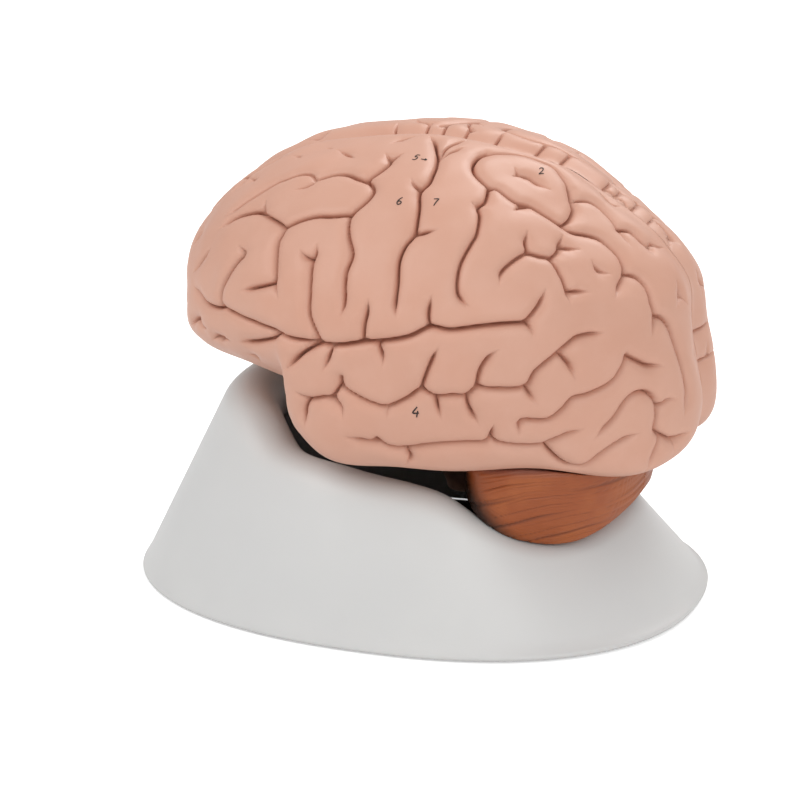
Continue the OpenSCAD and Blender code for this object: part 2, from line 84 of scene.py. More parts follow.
# Swellings and hollows: place on the map, spread both ways, height, 1 for the temporal lobe only.
SWELLS = ((-20, -32, 16, 14, 4, 1), (60, -39, 14, 12, 9, 0), (66, 25, 22, 24, -7.5, 0),
          (-78, 24, 12, 20, -1.2, 0), (-62, -14, 14, 10, 2.4, 0), (80, -36, 14, 20, 8.5, 0),
          (46, 44, 14, 12, -1.6, 0))

# Furrows of the left half as [backward, upward] in degrees on a map whose middle is the side
# pole of the brain and whose edge, at 90 degrees, is the middle plane.
SIDE_FISSURE = [
    [[38, 5], [33, 5], [27, 4.5], [20, 3.5], [15, 4], [10, 1.5], [4, 0], [-2, -1], [-8, -2.5],
     [-13, -3], [-17, -5], [-20, -7.5], [-23, -11]]]
FURROWS = [
    [[38, 5.5], [40, 7.5], [42, 10], [43.5, 13]], [[38, 5], [39, 3.5], [39.5, 1.5]],
    [[15, 4], [14.5, 7], [15, 12]], [[-2, -1], [-1.5, 4], [-1, 7], [-1, 10]],
    [[-1, 79.5], [3, 76], [6.5, 69], [8, 65.5], [9.5, 58], [9.5, 53], [9, 48], [7, 44.5],
     [7, 42], [8, 38], [8.5, 33], [8.5, 28], [6.5, 24.5], [5.5, 20], [6, 14], [6, 9], [6.5, 6]],
    [[8.5, 28], [12, 29], [15, 30]], [[7, 44.5], [4, 46.5], [2.5, 48.5]],
    [[31, 48], [30, 43], [29, 40.5], [27, 38.5], [27.5, 35], [26.5, 29], [25, 26], [22.5, 21],
     [21.5, 17], [21.5, 13], [22.5, 11], [24.5, 9]], [[27, 38.5], [25, 40]],
    [[-15, 46.5], [-12, 45], [-9.5, 42], [-10, 38], [-13, 32.5], [-12.5, 29], [-10.5, 25],
     [-8, 20.5], [-8.5, 16], [-8, 12], [-7.5, 8], [-8, 5]],
    [[-15, 46.5], [-12, 52], [-10.5, 56], [-11, 59]], [[-11, 59], [-15, 62]],
    [[-11, 59], [-7, 63]], [[-15, 46.5], [-19, 47], [-24, 48], [-29, 47], [-33, 44]],
    [[-13, 32.5], [-19, 31], [-24, 30], [-29, 27.5], [-33, 24.5]],
    [[-56.5, 19], [-53.5, 23], [-50, 25.5], [-46, 27], [-40.5, 26.5], [-33, 24.5], [-32.5, 20.5],
     [-31, 16.5], [-29, 12], [-29, 10], [-33.5, 8], [-38.5, 6]],
    [[-43.5, 27], [-45, 29], [-46, 31]], [[-29, 10], [-27.5, 8.5], [-26.5, 7]],
    [[-19, 22], [-18.5, 19.5], [-19, 17.5], [-18.5, 14], [-17.5, 8], [-17, 4], [-15, 0],
     [-13, -3]], [[-19, 17.5], [-21, 18], [-23.5, 19.5]],
    [[-45, 16.5], [-42, 15], [-43.5, 12.5], [-45.5, 8], [-47, 4], [-47, 1], [-45.5, -0.5],
     [-40, -1], [-33, -1.5], [-27, -2], [-23, -3], [-19, -3], [-14, -2.5]],
    [[-60.5, 0.5], [-56, -1.5], [-52.5, -2], [-48.5, -1.5], [-46, -0.5]],
    [[-40, -8.5], [-34.5, -7], [-29.5, -5], [-27.5, -4], [-26, -2.5]],
    [[30, 68.5], [26.5, 66], [24.5, 61], [25, 56], [27.5, 52], [31, 48], [34, 47], [38, 43],
     [41, 41], [45, 40], [50, 36], [54.5, 32], [57.5, 29.5], [62.5, 28], [66, 26], [68, 22.5],
     [69, 18.5], [68, 14], [65, 11], [62.5, 8.5]], [[43.5, 40], [40.5, 39], [38.5, 37.5]],
    [[54.5, 32], [58, 34], [61, 38], [61, 42], [61, 47]],
    [[40, 54], [43, 54.5], [46.5, 53.5], [49, 51], [53, 47.5]], [[41, 58], [42, 55.5]],
    [[32, 15], [32.5, 17.5], [35, 20], [39, 22.5], [41, 23], [44, 22], [47, 21], [49, 16],
     [49.5, 12], [49.5, 9]], [[41, 23], [40.5, 26], [41.5, 30]],
    [[47, 21], [50, 23], [51.5, 25.5], [53, 28.5]], [[51, 24.5], [53.5, 24], [57, 23.5]],
    [[49.5, 11.5], [52, 11.5], [55.5, 11]], [[59.5, 19.5], [60, 17.5], [61, 16], [63.5, 15]],
    [[68, 14], [71, 12.5], [72.5, 9], [72, 5], [72, 1], [70, -3.5]],
    [[72, 1], [74, 0], [76, -3.5], [77, -10], [77, -17], [76, -23], [73.5, -27]],
    [[82, 9], [82, 6], [81, 4], [79, 2]], [[73, 28.5], [76.5, 27], [78, 23.5], [79.5, 20]],
    [[-8, -11], [-8, -12.5], [-7, -14], [-4, -15.5], [0, -17], [4, -17.5], [9, -15],
     [12.5, -12.5], [16, -14], [20, -13.5], [23.5, -13.5], [26, -11.5], [30, -12], [37.5, -12],
     [40, -8], [44, -4.5], [48, -1.5], [51, 0], [57, 0]],
    [[-20, -16.5], [-17, -18], [-13, -17], [-10.5, -16.5], [-8, -12.5]],
    [[-17, -18], [-18, -21], [-18, -25]], [[-11.5, -17], [-9.5, -17.5], [-8, -19], [-7.5, -21]],
    [[12.5, -12.5], [14, -8], [16, -3], [17, -1]], [[16, -14], [16.5, -17], [17, -20]],
    [[23.5, -13.5], [24, -17], [26, -21.5]], [[26, -11.5], [27, -7], [29, -3.5], [31, -1.5]],
    [[37.5, -12], [39, -15], [40, -16.5]], [[46, -4], [48, -7], [49, -10.5]],
    [[2, -1], [3, -4], [3, -6.5]], [[-10.5, -4], [-11.5, -7], [-12.5, -9.5]],
    [[35, -24.5], [36, -21], [42, -21.5], [46, -19], [48.5, -16.5], [52.5, -16], [58, -14],
     [61, -10.5], [62.5, -7.5]], [[62.5, -7.5], [65.5, -10], [68, -12], [71.5, -13]],
    [[-7, -26], [-4, -27], [0.5, -27.5]],
    [[0.5, -26.5], [3, -28.5], [7, -29], [12.5, -28], [16.5, -27.5], [22.5, -27], [26.5, -27],
     [28.5, -26], [30, -27], [33.5, -28], [39.5, -28.5], [42.5, -27.5], [46.5, -26], [49.5, -25]],
    [[28.5, -26], [29, -23.5], [29.5, -21.5]], [[7, -29], [8.5, -31.5], [7, -34]],
    [[41, -29], [43, -32.5], [45.5, -35], [48.5, -35], [52, -32], [56.5, -29.5], [61.5, -28]],
    [[52, -27.5], [57, -24], [61.5, -19.5], [65, -18.5], [67.5, -20.5], [67.5, -24.5],
     [65.5, -28.5], [67, -31], [69, -32.5], [73, -32.5]],
    [[67.5, -24], [70.5, -22.5], [72.5, -22.5]], [[66, -31], [63.5, -34], [61, -38]],
    [[-63, -11.5], [-59.5, -8.5], [-57, -7.5]], [[-52.5, -12], [-50, -10], [-48.5, -10]],
    [[-40, -13], [-38, -13], [-38, -15]],
    [[-67, 16], [-71, 12], [-74, 5], [-73, -2], [-76, -9], [-75, -14]],
    [[-70, 29], [-75, 24], [-78, 16], [-81, 8], [-80, 2]], [[-78, 16], [-83, 17]],
    [[-62, 50], [-67, 44], [-69, 36], [-66, 30]], [[-69, 36], [-74, 34]],
    [[-55, 62], [-60, 60], [-64, 55]], [[-84, -4], [-83, -12], [-79, -17]],
    [[-69, -8], [-72, -14], [-71, -22], [-66, -29]], [[-77, -22], [-74, -31], [-68, -38]]]
FINE_FURROWS = [
    [[-57.5, 22.5], [-55.5, 25.5], [-53, 30.5], [-51, 34], [-48.5, 38], [-45.5, 40.5],
     [-42, 43.5], [-38, 44.5], [-34, 42.5]], [[-38.5, 37], [-35.5, 39], [-34, 41]],
    [[-63, 4], [-61.5, 6], [-59, 9.5], [-56.5, 13]], [[-65.5, 36], [-61, 36], [-60, 37.5]],
    [[-56, 50.5], [-51, 51]], [[-45, 59], [-42, 59.5]],
    [[-39, 59.5], [-33.5, 58.5], [-27.5, 57]], [[-17.5, 70], [-15, 74], [-9, 78]],
    [[9.5, 64.5], [10.5, 70.5], [13.5, 75.5], [18.5, 79]],
    [[10, 62.5], [12.5, 67], [15.5, 69.5], [19, 72]],
    [[30, 68.5], [38, 69], [45.5, 67.5], [52, 63], [57, 59], [60, 52], [61, 47]],
    [[63, 42], [67, 41.5], [70, 39], [72, 34.5], [73, 28.5]], [[73, 28], [73.5, 25], [73.5, 22.5]],
    [[74, 46.5], [75.5, 43], [77, 39], [79.5, 38]], [[85.5, 19], [83, 20], [81, 21.5]],
    [[81, 21.5], [79.5, 18]], [[-49, -11], [-47, -9.5]], [[-48.5, -10], [-44, -9.5]],
    [[-57, -8.5], [-55, -9], [-52.5, -8.5]], [[3.8, -18], [3.6, -20.5]], [[82, 4], [83.5, 1]],
    [[69, -32], [68.5, -35.5]], [[84, -14], [84, -17]],
    [[-68, -34], [-60, -40], [-50, -46]], [[-50, -30], [-56, -42]],
    [[-10, -50], [5, -56], [22, -57], [38, -52], [50, -46]], [[0, -66], [20, -70], [36, -66]]]
# Short furrows that cross the upper edge of the right half, as angles round the middle plane.
EDGE_TICKS = (110, 97, 90, 80.5, 68, 53, 45, 31, 27.5, 22.5, 18, -8, -14)
TICK_RADII = (80, 84, 88, 92)
SHIFT_DEG = 2.5

# How furrows draw the points of the grid towards them: share and width of the pull, and the share
# close to the line itself.
PULL_SHARE = 0.55
PULL_WIDTH = 2.6
SNAP_SHARE = 0.88
# How a furrow fades: length of the fade, share of its depth and of its width that is left at a
# free end, and the gap to other furrows that makes an end free.
FADE_LENGTH = 4.5
END_DEPTH = 0.12
END_WIDTH = 0.7
FREE_GAP = 2.0
FAR_POINT = 999.0
# How far from a line its pull, its depth and an inner face's relief are worked out.
PULL_REACH, DEPTH_REACH, RELIEF_REACH = 8, 9, 6
MEAN_RADIUS = 72

# Relief of the inner faces as [backward, upward] in millimetres from the centre of the brain.
BELT = [[-57, -10], [-55, 5], [-46, 18], [-28, 27], [-4, 30], [20, 27], [36, 22], [46, 26],
        [50, 36]]
CALLOSAL = [[-24, -16], [-34, -12], [-40, -2], [-36, 8], [-22, 15], [0, 17.5], [20, 14],
            [34, 6], [40, -3], [36, -10]]
REAR_CLEFT = [[60, 30], [52, 14], [44, 0], [37, -12]]
SPUR = [[79, -10], [66, -15], [54, -16], [42, -9]]
CREASES = [[[-70, -6], [-62, 10]], [[-62, 17], [-50, 30]], [[-30, 34], [-28, 42]],
           [[4, 34], [6, 42]], [[24, 32], [22, 42]], [[66, 13], [76, 16]]]
BAND = [[-22, -12], [-31, -8], [-35, -1], [-31, 6], [-20, 11.5], [0, 14], [18, 11], [30, 4],
        [35, -3]]
# Half width and depth of the clefts, of the short creases and of the pale band.
CLEFT = (1.3, 2.4)
CREASE = (1.0, 1.6)
BAND_RISE = (2.6, 1.0)
# Middle and half sizes of two oval places, and the depth of the first. Then the pegs' places and
# holes, and the plate's gap at its rim and seat in the recess.
VENTRICLE = (-4, -3, 27, 10)
THALAMUS = (2, -4, 10.5, 7)
VENTRICLE_DEPTH = 2.6
PEG_PLACES = ((-48, -2), (58, 8))
PEG_HOLE_R = 3.5
PLATE_GAP = 0.15
PLATE_SEAT = 0.5

# Powers of the ovals of the foot and the rim line, and by what share the foot is wider to the
# rear, counted from a place ahead of its rear end.
FOOT_POWER = 2.25
RIM_POWER = 2.2
FOOT_TAPER, FOOT_TAPER_FROM = 0.04, 0.3
# Height of the rim of the stand against the distance back from the middle of the stand, and the
# width of the bell that softens it.
RIM_SOFT = 5.0
RIM_HEIGHTS = ((-90, 61), (-52, 61), (-47, 60.5), (-43, 58), (-39, 53), (-35, 50), (-30, 49),
               (-22, 48.5), (-14, 48.2), (-5, 47), (10, 45.3), (21, 42.8), (31, 35.2),
               (40, 28.6), (48, 26), (56, 26), (63, 29), (68, 33), (74, 37), (90, 37))

# Strokes of the plain numerals in a box one unit high, and where each numeral is painted:
# its middle on the map, its height in degrees and its slant.
DIGITS = {
    "2": [[[0.05, 0.8], [0.2, 0.97], [0.45, 0.95], [0.52, 0.75], [0.35, 0.4], [0.02, 0.03],
           [0.3, 0.05], [0.58, 0.04]]],
    "4": [[[0.42, 1.0], [0.05, 0.42], [0.6, 0.42]], [[0.5, 0.62], [0.42, 0.0]]],
    "5": [[[0.55, 1.0], [0.15, 0.97], [0.1, 0.6], [0.38, 0.62], [0.5, 0.35], [0.32, 0.05],
           [0.02, 0.08]]],
    "6": [[[0.42, 1.0], [0.15, 0.7], [0.05, 0.3], [0.2, 0.02], [0.45, 0.08], [0.5, 0.35],
           [0.3, 0.48], [0.1, 0.35]]],
    "7": [[[0.02, 0.95], [0.3, 0.97], [0.58, 0.97], [0.38, 0.5], [0.25, 0.0]]],
    "arrow": [[[0.0, 0.52], [0.45, 0.47], [0.9, 0.5]], [[0.62, 0.7], [0.92, 0.5], [0.6, 0.3]]],
}
NUMERALS = (("5", 0, 61, 3.4, 0.15), ("6", 1.5, 39, 2.8, 0.1), ("7", 13, 39.5, 2.8, 0.1),
            ("2", 51, 56.5, 3.2, 0.1), ("4", 11, -18, 2.7, 0.1), ("arrow", 3.2, 60.2, 2.6, 0))


# Numbers and surfaces
def unit(vectors):
    """Each row divided by its own length."""
    return vectors / np.linalg.norm(vectors, axis=-1, keepdims=True)


def directions(places):
    """Directions of map places: an angle rho = length from the side pole, turned towards the
    place, so d = (cos rho, sin rho * u / rho, sin rho * v / rho)."""
    rho = np.linalg.norm(places, axis=-1)
    share = np.sin(np.radians(rho)) / np.maximum(rho, 1e-6)
    return np.stack((np.cos(np.radians(rho)), share * places[..., 0], share * places[..., 1]), -1)


def map_places(dirs):
    """Map places of directions, the inverse of directions()."""
    rho = np.degrees(np.arccos(np.clip(dirs[..., 0], -1, 1)))
    side = np.maximum(np.linalg.norm(dirs[..., 1:], axis=-1), 1e-9)
    return dirs[..., 1:] * (rho / side)[..., None]


def bell(distance, width):
    """A bell curve, exp(-(distance / width)^2)."""
    return np.exp(-(distance / width) ** 2)


def ease(x):
    """Smooth step from 0 to 1, 3x^2 - 2x^3."""
    x = np.clip(x, 0, 1)
    return x * x * (3 - 2 * x)


def smooth_radius(dirs, sizes):
    """Radius of a half before its furrows: an ellipsoid and the planes of the underside joined by
    a norm of high power, plus bell-shaped swellings, less a roll at the middle fissure."""
    places = map_places(dirs)
    edge = LOBE_FOOT - LOBE_TOP
    off = ((places[..., 0] - LOBE_TOP[0]) * edge[1] - (places[..., 1] - LOBE_TOP[1]) * edge[0])
    ahead = 1 / (1 + np.exp(-off / np.linalg.norm(edge) / LOBE_BLEND))
    along = dirs[..., 1] / np.where(dirs[..., 1] < 0, sizes.front_reach, sizes.rear_reach)
    upward = dirs[..., 2] / np.where(dirs[..., 2] < 0, sizes.low_reach, sizes.top_rise)
    dome = np.sqrt((dirs[..., 0] / sizes.half_w) ** 2 + along ** 2 + upward ** 2)
    total = dome ** EDGE_POWER
    for normal, distance, where in UNDER_PLANES:
        reach = np.maximum(0, dirs @ unit(np.array(normal, float)) / distance)
        if where == 2:
            total = total + (1 - ahead) * reach ** EDGE_POWER
        else:
            total = total + (reach * (ahead if where == 1 else 1)) ** EDGE_POWER
    radius = total ** (-1 / EDGE_POWER)
    for u, v, wide, high, height, lobe in SWELLS:
        share = 1 - ahead if lobe else 1
        radius = radius + height * share * bell(places[..., 0] - u, wide) * bell(
            places[..., 1] - v, high)
    rho = np.linalg.norm(places, axis=-1)
    return radius - sizes.fissure_drop * bell(90 - rho, FISSURE_ROLL_DEG)


def curved(line, parts=4):
    """A line through its points as a smooth curve of cubic pieces (Catmull-Rom)."""
    p = np.array(line, float)
    p = np.vstack((2 * p[0] - p[1], p, 2 * p[-1] - p[-2]))
    t = np.linspace(0, 1, parts, endpoint=False)[:, None]
    out = [0.5 * (2 * b + (c - a) * t + (2 * a - 5 * b + 4 * c - d) * t ** 2
                  + (3 * b - a - 3 * c + d) * t ** 3)
           for a, b, c, d in zip(p, p[1:], p[2:], p[3:])]
    return np.vstack(out + [p[-2]])


def grid_faces(rows, columns, wrap_rows=False, wrap_columns=False):
    """Quads of a grid of rows by columns of points, each wound from its corner (r, c) over
    (r, c+1) and (r+1, c+1) to (r+1, c)."""
    r = np.arange(rows if wrap_rows else rows - 1)[:, None]
    c = np.arange(columns if wrap_columns else columns - 1)[None]
    r2, c2 = (r + 1) % rows, (c + 1) % columns
    return np.stack((r * columns + c, r * columns + c2, r2 * columns + c2, r2 * columns + c),
                    -1).reshape(-1, 4)


def fan_faces(loop, hub):
    """Triangles from each edge of a closed loop of points to one hub point."""
    return np.stack((loop, np.roll(loop, -1), np.full(len(loop), hub)), -1)


def make_piece(name, points, faces, finish, body, values=None, flip=False):
    """A smooth-shaded mesh piece from points in millimetres, with its own point values."""
    mesh = bpy.data.meshes.new(name)
    sizes = np.concatenate([np.full(len(f), f.shape[1]) for f in faces])
    corners = np.concatenate([(f[:, ::-1] if flip else f).ravel() for f in faces])
    mesh.vertices.add(len(points))
    mesh.vertices.foreach_set("co", (np.asarray(points, float) * MM).ravel())
    mesh.loops.add(len(corners))
    mesh.loops.foreach_set("vertex_index", corners.astype(np.int32))
    mesh.polygons.add(len(sizes))
    mesh.polygons.foreach_set("loop_start", (np.cumsum(sizes) - sizes).astype(np.int32))
    mesh.polygons.foreach_set("use_smooth", np.ones(len(sizes), bool))
    mesh.update(calc_edges=True)
    mesh.validate()
    for key, data in (values or {}).items():
        layer = mesh.attributes.new(key, "FLOAT", "POINT")
        layer.data.foreach_set("value", np.asarray(data, np.float32))
    mesh.materials.append(finish)
    piece = bpy.data.objects.new(name, mesh)
    bpy.context.scene.collection.objects.link(piece)
    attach(piece, body)
    return piece


# Halves of the cerebrum
def side_lines(lines, side, ticks=False):
    """Furrow lines of one side: the right half has them shifted by slow waves over the map, and
    short ticks across its upper edge."""
    found = [np.array(line, float) for line in lines]
    if side > 0:
        return found
    found = [m + SHIFT_DEG * np.stack((np.sin(np.radians(3 * m[:, 1] + 20)),
                                       np.sin(np.radians(3 * m[:, 0] + 50))), -1) for m in found]
    if ticks:
        for a in np.radians(EDGE_TICKS):
            found.append(np.array([[rho * math.cos(a), rho * math.sin(a)]
                                   for rho in TICK_RADII]))
    return found


def furrow_looks(side, sizes):
    """Every furrow of one side as its line on the smooth form, with its depth, its half width and
    its paint. The sets are rows of lines, depth, half width, paint and whether they have ticks."""
    sets = ((SIDE_FISSURE, sizes.fissure_depth, sizes.furrow_width * 1.15, 1.0, False),
            (FURROWS, sizes.furrow_depth, sizes.furrow_width, 0.9, False),
            (FINE_FURROWS, sizes.fine_depth, sizes.furrow_width * 0.85, 0.5, True))
    for group, depth, width, dark, ticks in sets:
        for line in side_lines(group, side, ticks):
            d = directions(line)
            yield d * smooth_radius(d, sizes)[:, None], depth, width, dark


def gathered(points, side, sizes, snap):
    """Points crowded towards their nearest furrow, p + share * (q - p): the share is a bell of the
    distance, so that no two points change places, and nearly 1 within the snap distance."""
    nearest = np.full(len(points), np.inf)
    target = points.copy()
    lines = [look[0] for look in furrow_looks(side, sizes)]
    for found in all_lines_near(points, lines, PULL_REACH):
        if found is None:
            continue
        chosen, away, _, place = found
        closer = away < nearest[chosen]
        nearest[chosen] = np.where(closer, away, nearest[chosen])
        target[chosen] = np.where(closer[:, None], place, target[chosen])
    share = np.where(nearest < snap, SNAP_SHARE, PULL_SHARE * bell(nearest, PULL_WIDTH))
    return points + share[:, None] * (target - points)


def furrow_depths(points, side, sizes):
    """Depth in millimetres at each point and the paint that lies there from 0 to 1. Each furrow is
    a narrow bell for its cleft and a wide one for the swell of the folds beside it, thinner and
    shallower towards a free end; furrows add as a fourth-power norm."""
    cleft = np.zeros(len(points))
    swell = np.zeros(len(points))
    paint = np.zeros(len(points))
    looks = list(furrow_looks(side, sizes))
    lines = [look[0] for look in looks]
    for found, look in zip(all_lines_near(points, lines, DEPTH_REACH), looks):
        if found is None:
            continue
        chosen, away, ends, _ = found
        _, depth, width, dark = look
        fade = ease(ends / FADE_LENGTH)
        strength = END_DEPTH + (1 - END_DEPTH) * fade
        width = width * (END_WIDTH + (1 - END_WIDTH) * fade)
        cleft[chosen] += (depth * strength * bell(away, width)) ** 4
        swell[chosen] += (sizes.swell_depth * min(1, depth / 2.5) * strength
                          * bell(away, sizes.swell_width)) ** 4
        paint[chosen] = np.maximum(paint[chosen], dark * strength * bell(away, width * 1.1))
    return cleft ** 0.25 + swell ** 0.25, paint


def all_lines_near(points, lines, reach):
    """For each line in turn: the points within reach of its box, their distances to it, how far
    each nearest place is from a free end of the line, and that place; None where no point is."""
    curves = [curved(line) for line in lines]
    everything = np.vstack(curves)
    owner = np.concatenate([np.full(len(c), k) for k, c in enumerate(curves)])
    for k, curve in enumerate(curves):
        low, high = curve.min(0) - reach, curve.max(0) + reach
        chosen = np.flatnonzero(np.all((points > low) & (points < high), axis=1))
        if not len(chosen):
            yield None
            continue
        others = np.vstack((everything[owner != k], [[FAR_POINT] * 3]))
        free = [np.min(np.linalg.norm(others - end, axis=1)) > FREE_GAP
                for end in (curve[0], curve[-1])]
        step = np.diff(curve, axis=0)
        length = np.linalg.norm(step, axis=1)
        start = np.concatenate(([0], np.cumsum(length)))
        best = np.full(len(chosen), np.inf)
        along = np.zeros(len(chosen))
        place = np.zeros((len(chosen), 3))
        for j in range(len(step)):
            rel = points[chosen] - curve[j]
            share = np.clip(rel @ step[j] / length[j] ** 2, 0, 1)
            spot = curve[j] + share[:, None] * step[j]
            away = np.linalg.norm(points[chosen] - spot, axis=1)
            closer = away < best
            best = np.where(closer, away, best)
            along = np.where(closer, start[j] + share * length[j], along)
            place = np.where(closer[:, None], spot, place)
        ends = np.minimum(along if free[0] else np.inf, start[-1] - along if free[1] else np.inf)
        yield chosen, best, ends, place


def half_surface(side, sizes):
    """Points of a half brain on a square grid bent onto the round map, in the left half's frame:
    x = s * sqrt(1 - t^2 / 2), y = t * sqrt(1 - s^2 / 2), times 90 degrees."""
    n = sizes.grid + 1
    t, s = np.meshgrid(np.linspace(-1, 1, n), np.linspace(-1, 1, n), indexing="ij")
    places = 90 * np.stack((s * np.sqrt(1 - t * t / 2), t * np.sqrt(1 - s * s / 2)), -1)
    dirs = directions(places.reshape(-1, 2))
    base = dirs * smooth_radius(dirs, sizes)[:, None]
    cell = math.pi / sizes.grid * MEAN_RADIUS
    edge = np.ones((n, n), bool)
    edge[1:-1, 1:-1] = False
    moved = np.where(edge.ravel()[:, None], base, gathered(base, side, sizes, 0.45 * cell))
    points, paint = carved(unit(moved), side, sizes)
    return points, paint, n


def carved(dirs, side, sizes):
    """Points of the outer surface in given directions, its furrows cut and its skin a little
    uneven with slow crossed waves, and their paint."""
    base = dirs * smooth_radius(dirs, sizes)[:, None]
    depth, paint = furrow_depths(base, side, sizes)
    waves = (0.35 * np.sin(0.16 * base[:, 1] + 1.3) * np.sin(0.19 * base[:, 2] + 0.4)
             + 0.2 * np.sin(0.31 * base[:, 0] + 0.27 * base[:, 1]) * np.sin(0.29 * base[:, 2]))
    return base + dirs * (waves - depth)[:, None], paint


def build_half(name, side, sizes, finish, body):
    """One half of the cerebrum: its outer surface, a narrow flat border round its inner side and
    a recess inside the border, into which the painted inner face is set."""
    points, paint, n = half_surface(side, sizes)
    points[:, 0] = np.maximum(points[:, 0], sizes.inner_wall)
    index = np.arange(n * n).reshape(n, n)
    loop = np.concatenate((index[0, :-1], index[:-1, -1], index[-1, :0:-1], index[:0:-1, 0]))
    border = points[loop] * (1, sizes.border, sizes.border)
    deep = sizes.inner_wall + sizes.recess
    floor = border * (0, 1, 1) + (deep, 0, 0)
    points = np.vstack((points, border, floor, [[deep, 0, 0]]))
    points = (points + (0, sizes.brain_y, sizes.brain_z)) * (side, 1, 1)
    around = len(loop)
    first = n * n + np.arange(around)
    rings = [np.stack((a, np.roll(a, -1), np.roll(b, -1), b), -1)[:, ::-1]
             for a, b in ((loop, first), (first, first + around))]
    faces = (grid_faces(n, n), *rings, fan_faces(first + around, n * n + 2 * around)[:, ::-1])
    paint = np.append(paint, np.zeros(2 * around + 1))
    return make_piece(name, points, faces, finish, body, {"paint": paint},
                      flip=side < 0)


# Inner faces
def inner_relief(y, z, lines, width, depth):
    """Depth of the relief at (y, z): the deepest bell across any of the lines."""
    points = np.stack((y, z, 0 * y), -1)
    found = np.zeros(len(points))
    flat = [np.c_[np.array(line, float), np.zeros(len(line))] for line in lines]
    for hit in all_lines_near(points, flat, RELIEF_REACH):
        if hit is not None:
            chosen, away, ends, _ = hit
            fade = 0.3 + 0.7 * ease(ends / 4)
            found[chosen] = np.maximum(found[chosen], depth * fade * bell(away, width))
    return found


def build_inner_face(name, side, sizes, finish, body):
    """The painted plate on the inner wall of a half: rings drawn in from its outline, each furrow,
    the ventricle and the thalamus modelled in its depth, and the arched band painted pale."""
    around, rings = 360, 96
    angle = np.linspace(0, 2 * np.pi, around, endpoint=False)
    d = np.stack((0 * angle, np.cos(angle), np.sin(angle)), -1)
    reach = smooth_radius(d, sizes) * sizes.border - PLATE_GAP
    share = np.linspace(0.02, 1, rings)
    y = (share[:, None] * reach * np.cos(angle)).ravel()
    z = (share[:, None] * reach * np.sin(angle)).ravel()
    cleft = inner_relief(y, z, [BELT, CALLOSAL, REAR_CLEFT, SPUR], *CLEFT)
    cleft = np.maximum(cleft, inner_relief(y, z, CREASES, *CREASE))
    band = inner_relief(y, z, [BAND], *BAND_RISE)
    u, v, wide, high = VENTRICLE
    hollow = ease((1 - np.hypot((y - u) / wide, (z - v) / high)) * 5) * (band < 0.6)
    u, v, wide, high = THALAMUS
    mound = ease((1 - np.hypot((y - u) / wide, (z - v) / high)) * 3)
    # Painted shade: the peg holes are not cut in the plate, but dark spots are painted where they
    # stand.
    painted_hole_shade = np.zeros(len(y))
    for u, v in PEG_PLACES:
        painted_hole_shade = np.maximum(painted_hole_shade, ease((PEG_HOLE_R - np.hypot(y - u, z - v)) * 3))
    x = sizes.inner_wall + cleft + VENTRICLE_DEPTH * hollow * (1 - mound)
    points = np.stack((side * x, y + sizes.brain_y, z + sizes.brain_z), -1)
    hub = points[:around].mean(0)
    back = points[-around:].copy()
    back[:, 0] = side * (sizes.inner_wall + sizes.recess - PLATE_SEAT)
    last = len(points)
    all_points = np.vstack((points, hub[None], back,
                            [[back[0, 0], sizes.brain_y, sizes.brain_z]]))
    ring = np.arange(around)
    rim = np.stack(((rings - 1) * around + ring, (rings - 1) * around + (ring + 1) % around,
                    last + 1 + (ring + 1) % around, last + 1 + ring), -1)
    faces = (grid_faces(rings, around, wrap_columns=True), fan_faces(ring, last)[:, ::-1], rim,
             fan_faces(last + 1 + ring, last + 1 + around)[:, ::-1])
    rest = np.zeros(around + 2)
    values = {"paint": np.append(np.clip(cleft / CLEFT[1], 0, 1), rest),
              "pale": np.append(band, rest),
              "hollow": np.append(np.maximum(hollow * (1 - mound), painted_hole_shade), rest)}
    return make_piece(name, all_points, faces, finish, body, values, flip=side > 0)


# Cerebellum
LEAF_ROOT = np.array((0.9, -0.42, -0.1))
CEREB_POWER = 3
# How leaves draw together, sag and tilt over the length, and how they group into lobes.
LEAF_FAN, LEAF_SAG, LEAF_TILT = 0.30, 0.10, 0.06
LEAVES_PER_LOBE = 7.5
LOBE_GROOVE = 0.4
# Air in millimetres: at the glue lines of the cerebellum and the stem, over the rim, inside its
# opening and along the slide. Then how steeply the room falls off inside the rim, and the step by
# which points are lowered.
GLUE_GAP = 0.6
STEM_GAP = 0.5
RIM_GAP = 0.8
OPENING_GAP = 1.0
SLIDE_ROOM = 23
OPENING_SLOPE = 60
DROP_STEP = 0.25
# Painted shade on the front, in place of the shadow that falls there: where it ends as a share of
# the half length, its lean and its blur.
SHADE_END, SHADE_LEAN, SHADE_BLUR = 0.6, 0.7, 9


def lowered(points, sizes, room):
    """Points moved straight down until they are clear of the underside of the brain by room."""
    out = points.copy()
    centre = np.array((0, sizes.brain_y, sizes.brain_z))
    for _ in range(90):
        rel = out - centre
        away = np.linalg.norm(rel, axis=1)
        dirs = rel / away[:, None]
        dirs[:, 0] = np.abs(dirs[:, 0])
        inside = away < smooth_radius(dirs, sizes) + room
        if not inside.any():
            break
        out[inside, 2] -= DROP_STEP
    return out


def rim_height(y):
    """Height of the rim of the stand: straight between the rows of its table, then averaged with
    a bell for weights."""
    grid = np.arange(-120.0, 120.5, 0.5)
    steps = np.array(RIM_HEIGHTS)
    straight = np.interp(grid, steps[:, 0], steps[:, 1])
    kernel = bell(np.arange(-30, 31) * 0.5, RIM_SOFT)
    soft = np.convolve(np.pad(straight, 30, mode="edge"), kernel / kernel.sum(), "valid")
    return np.interp(y, grid, soft)


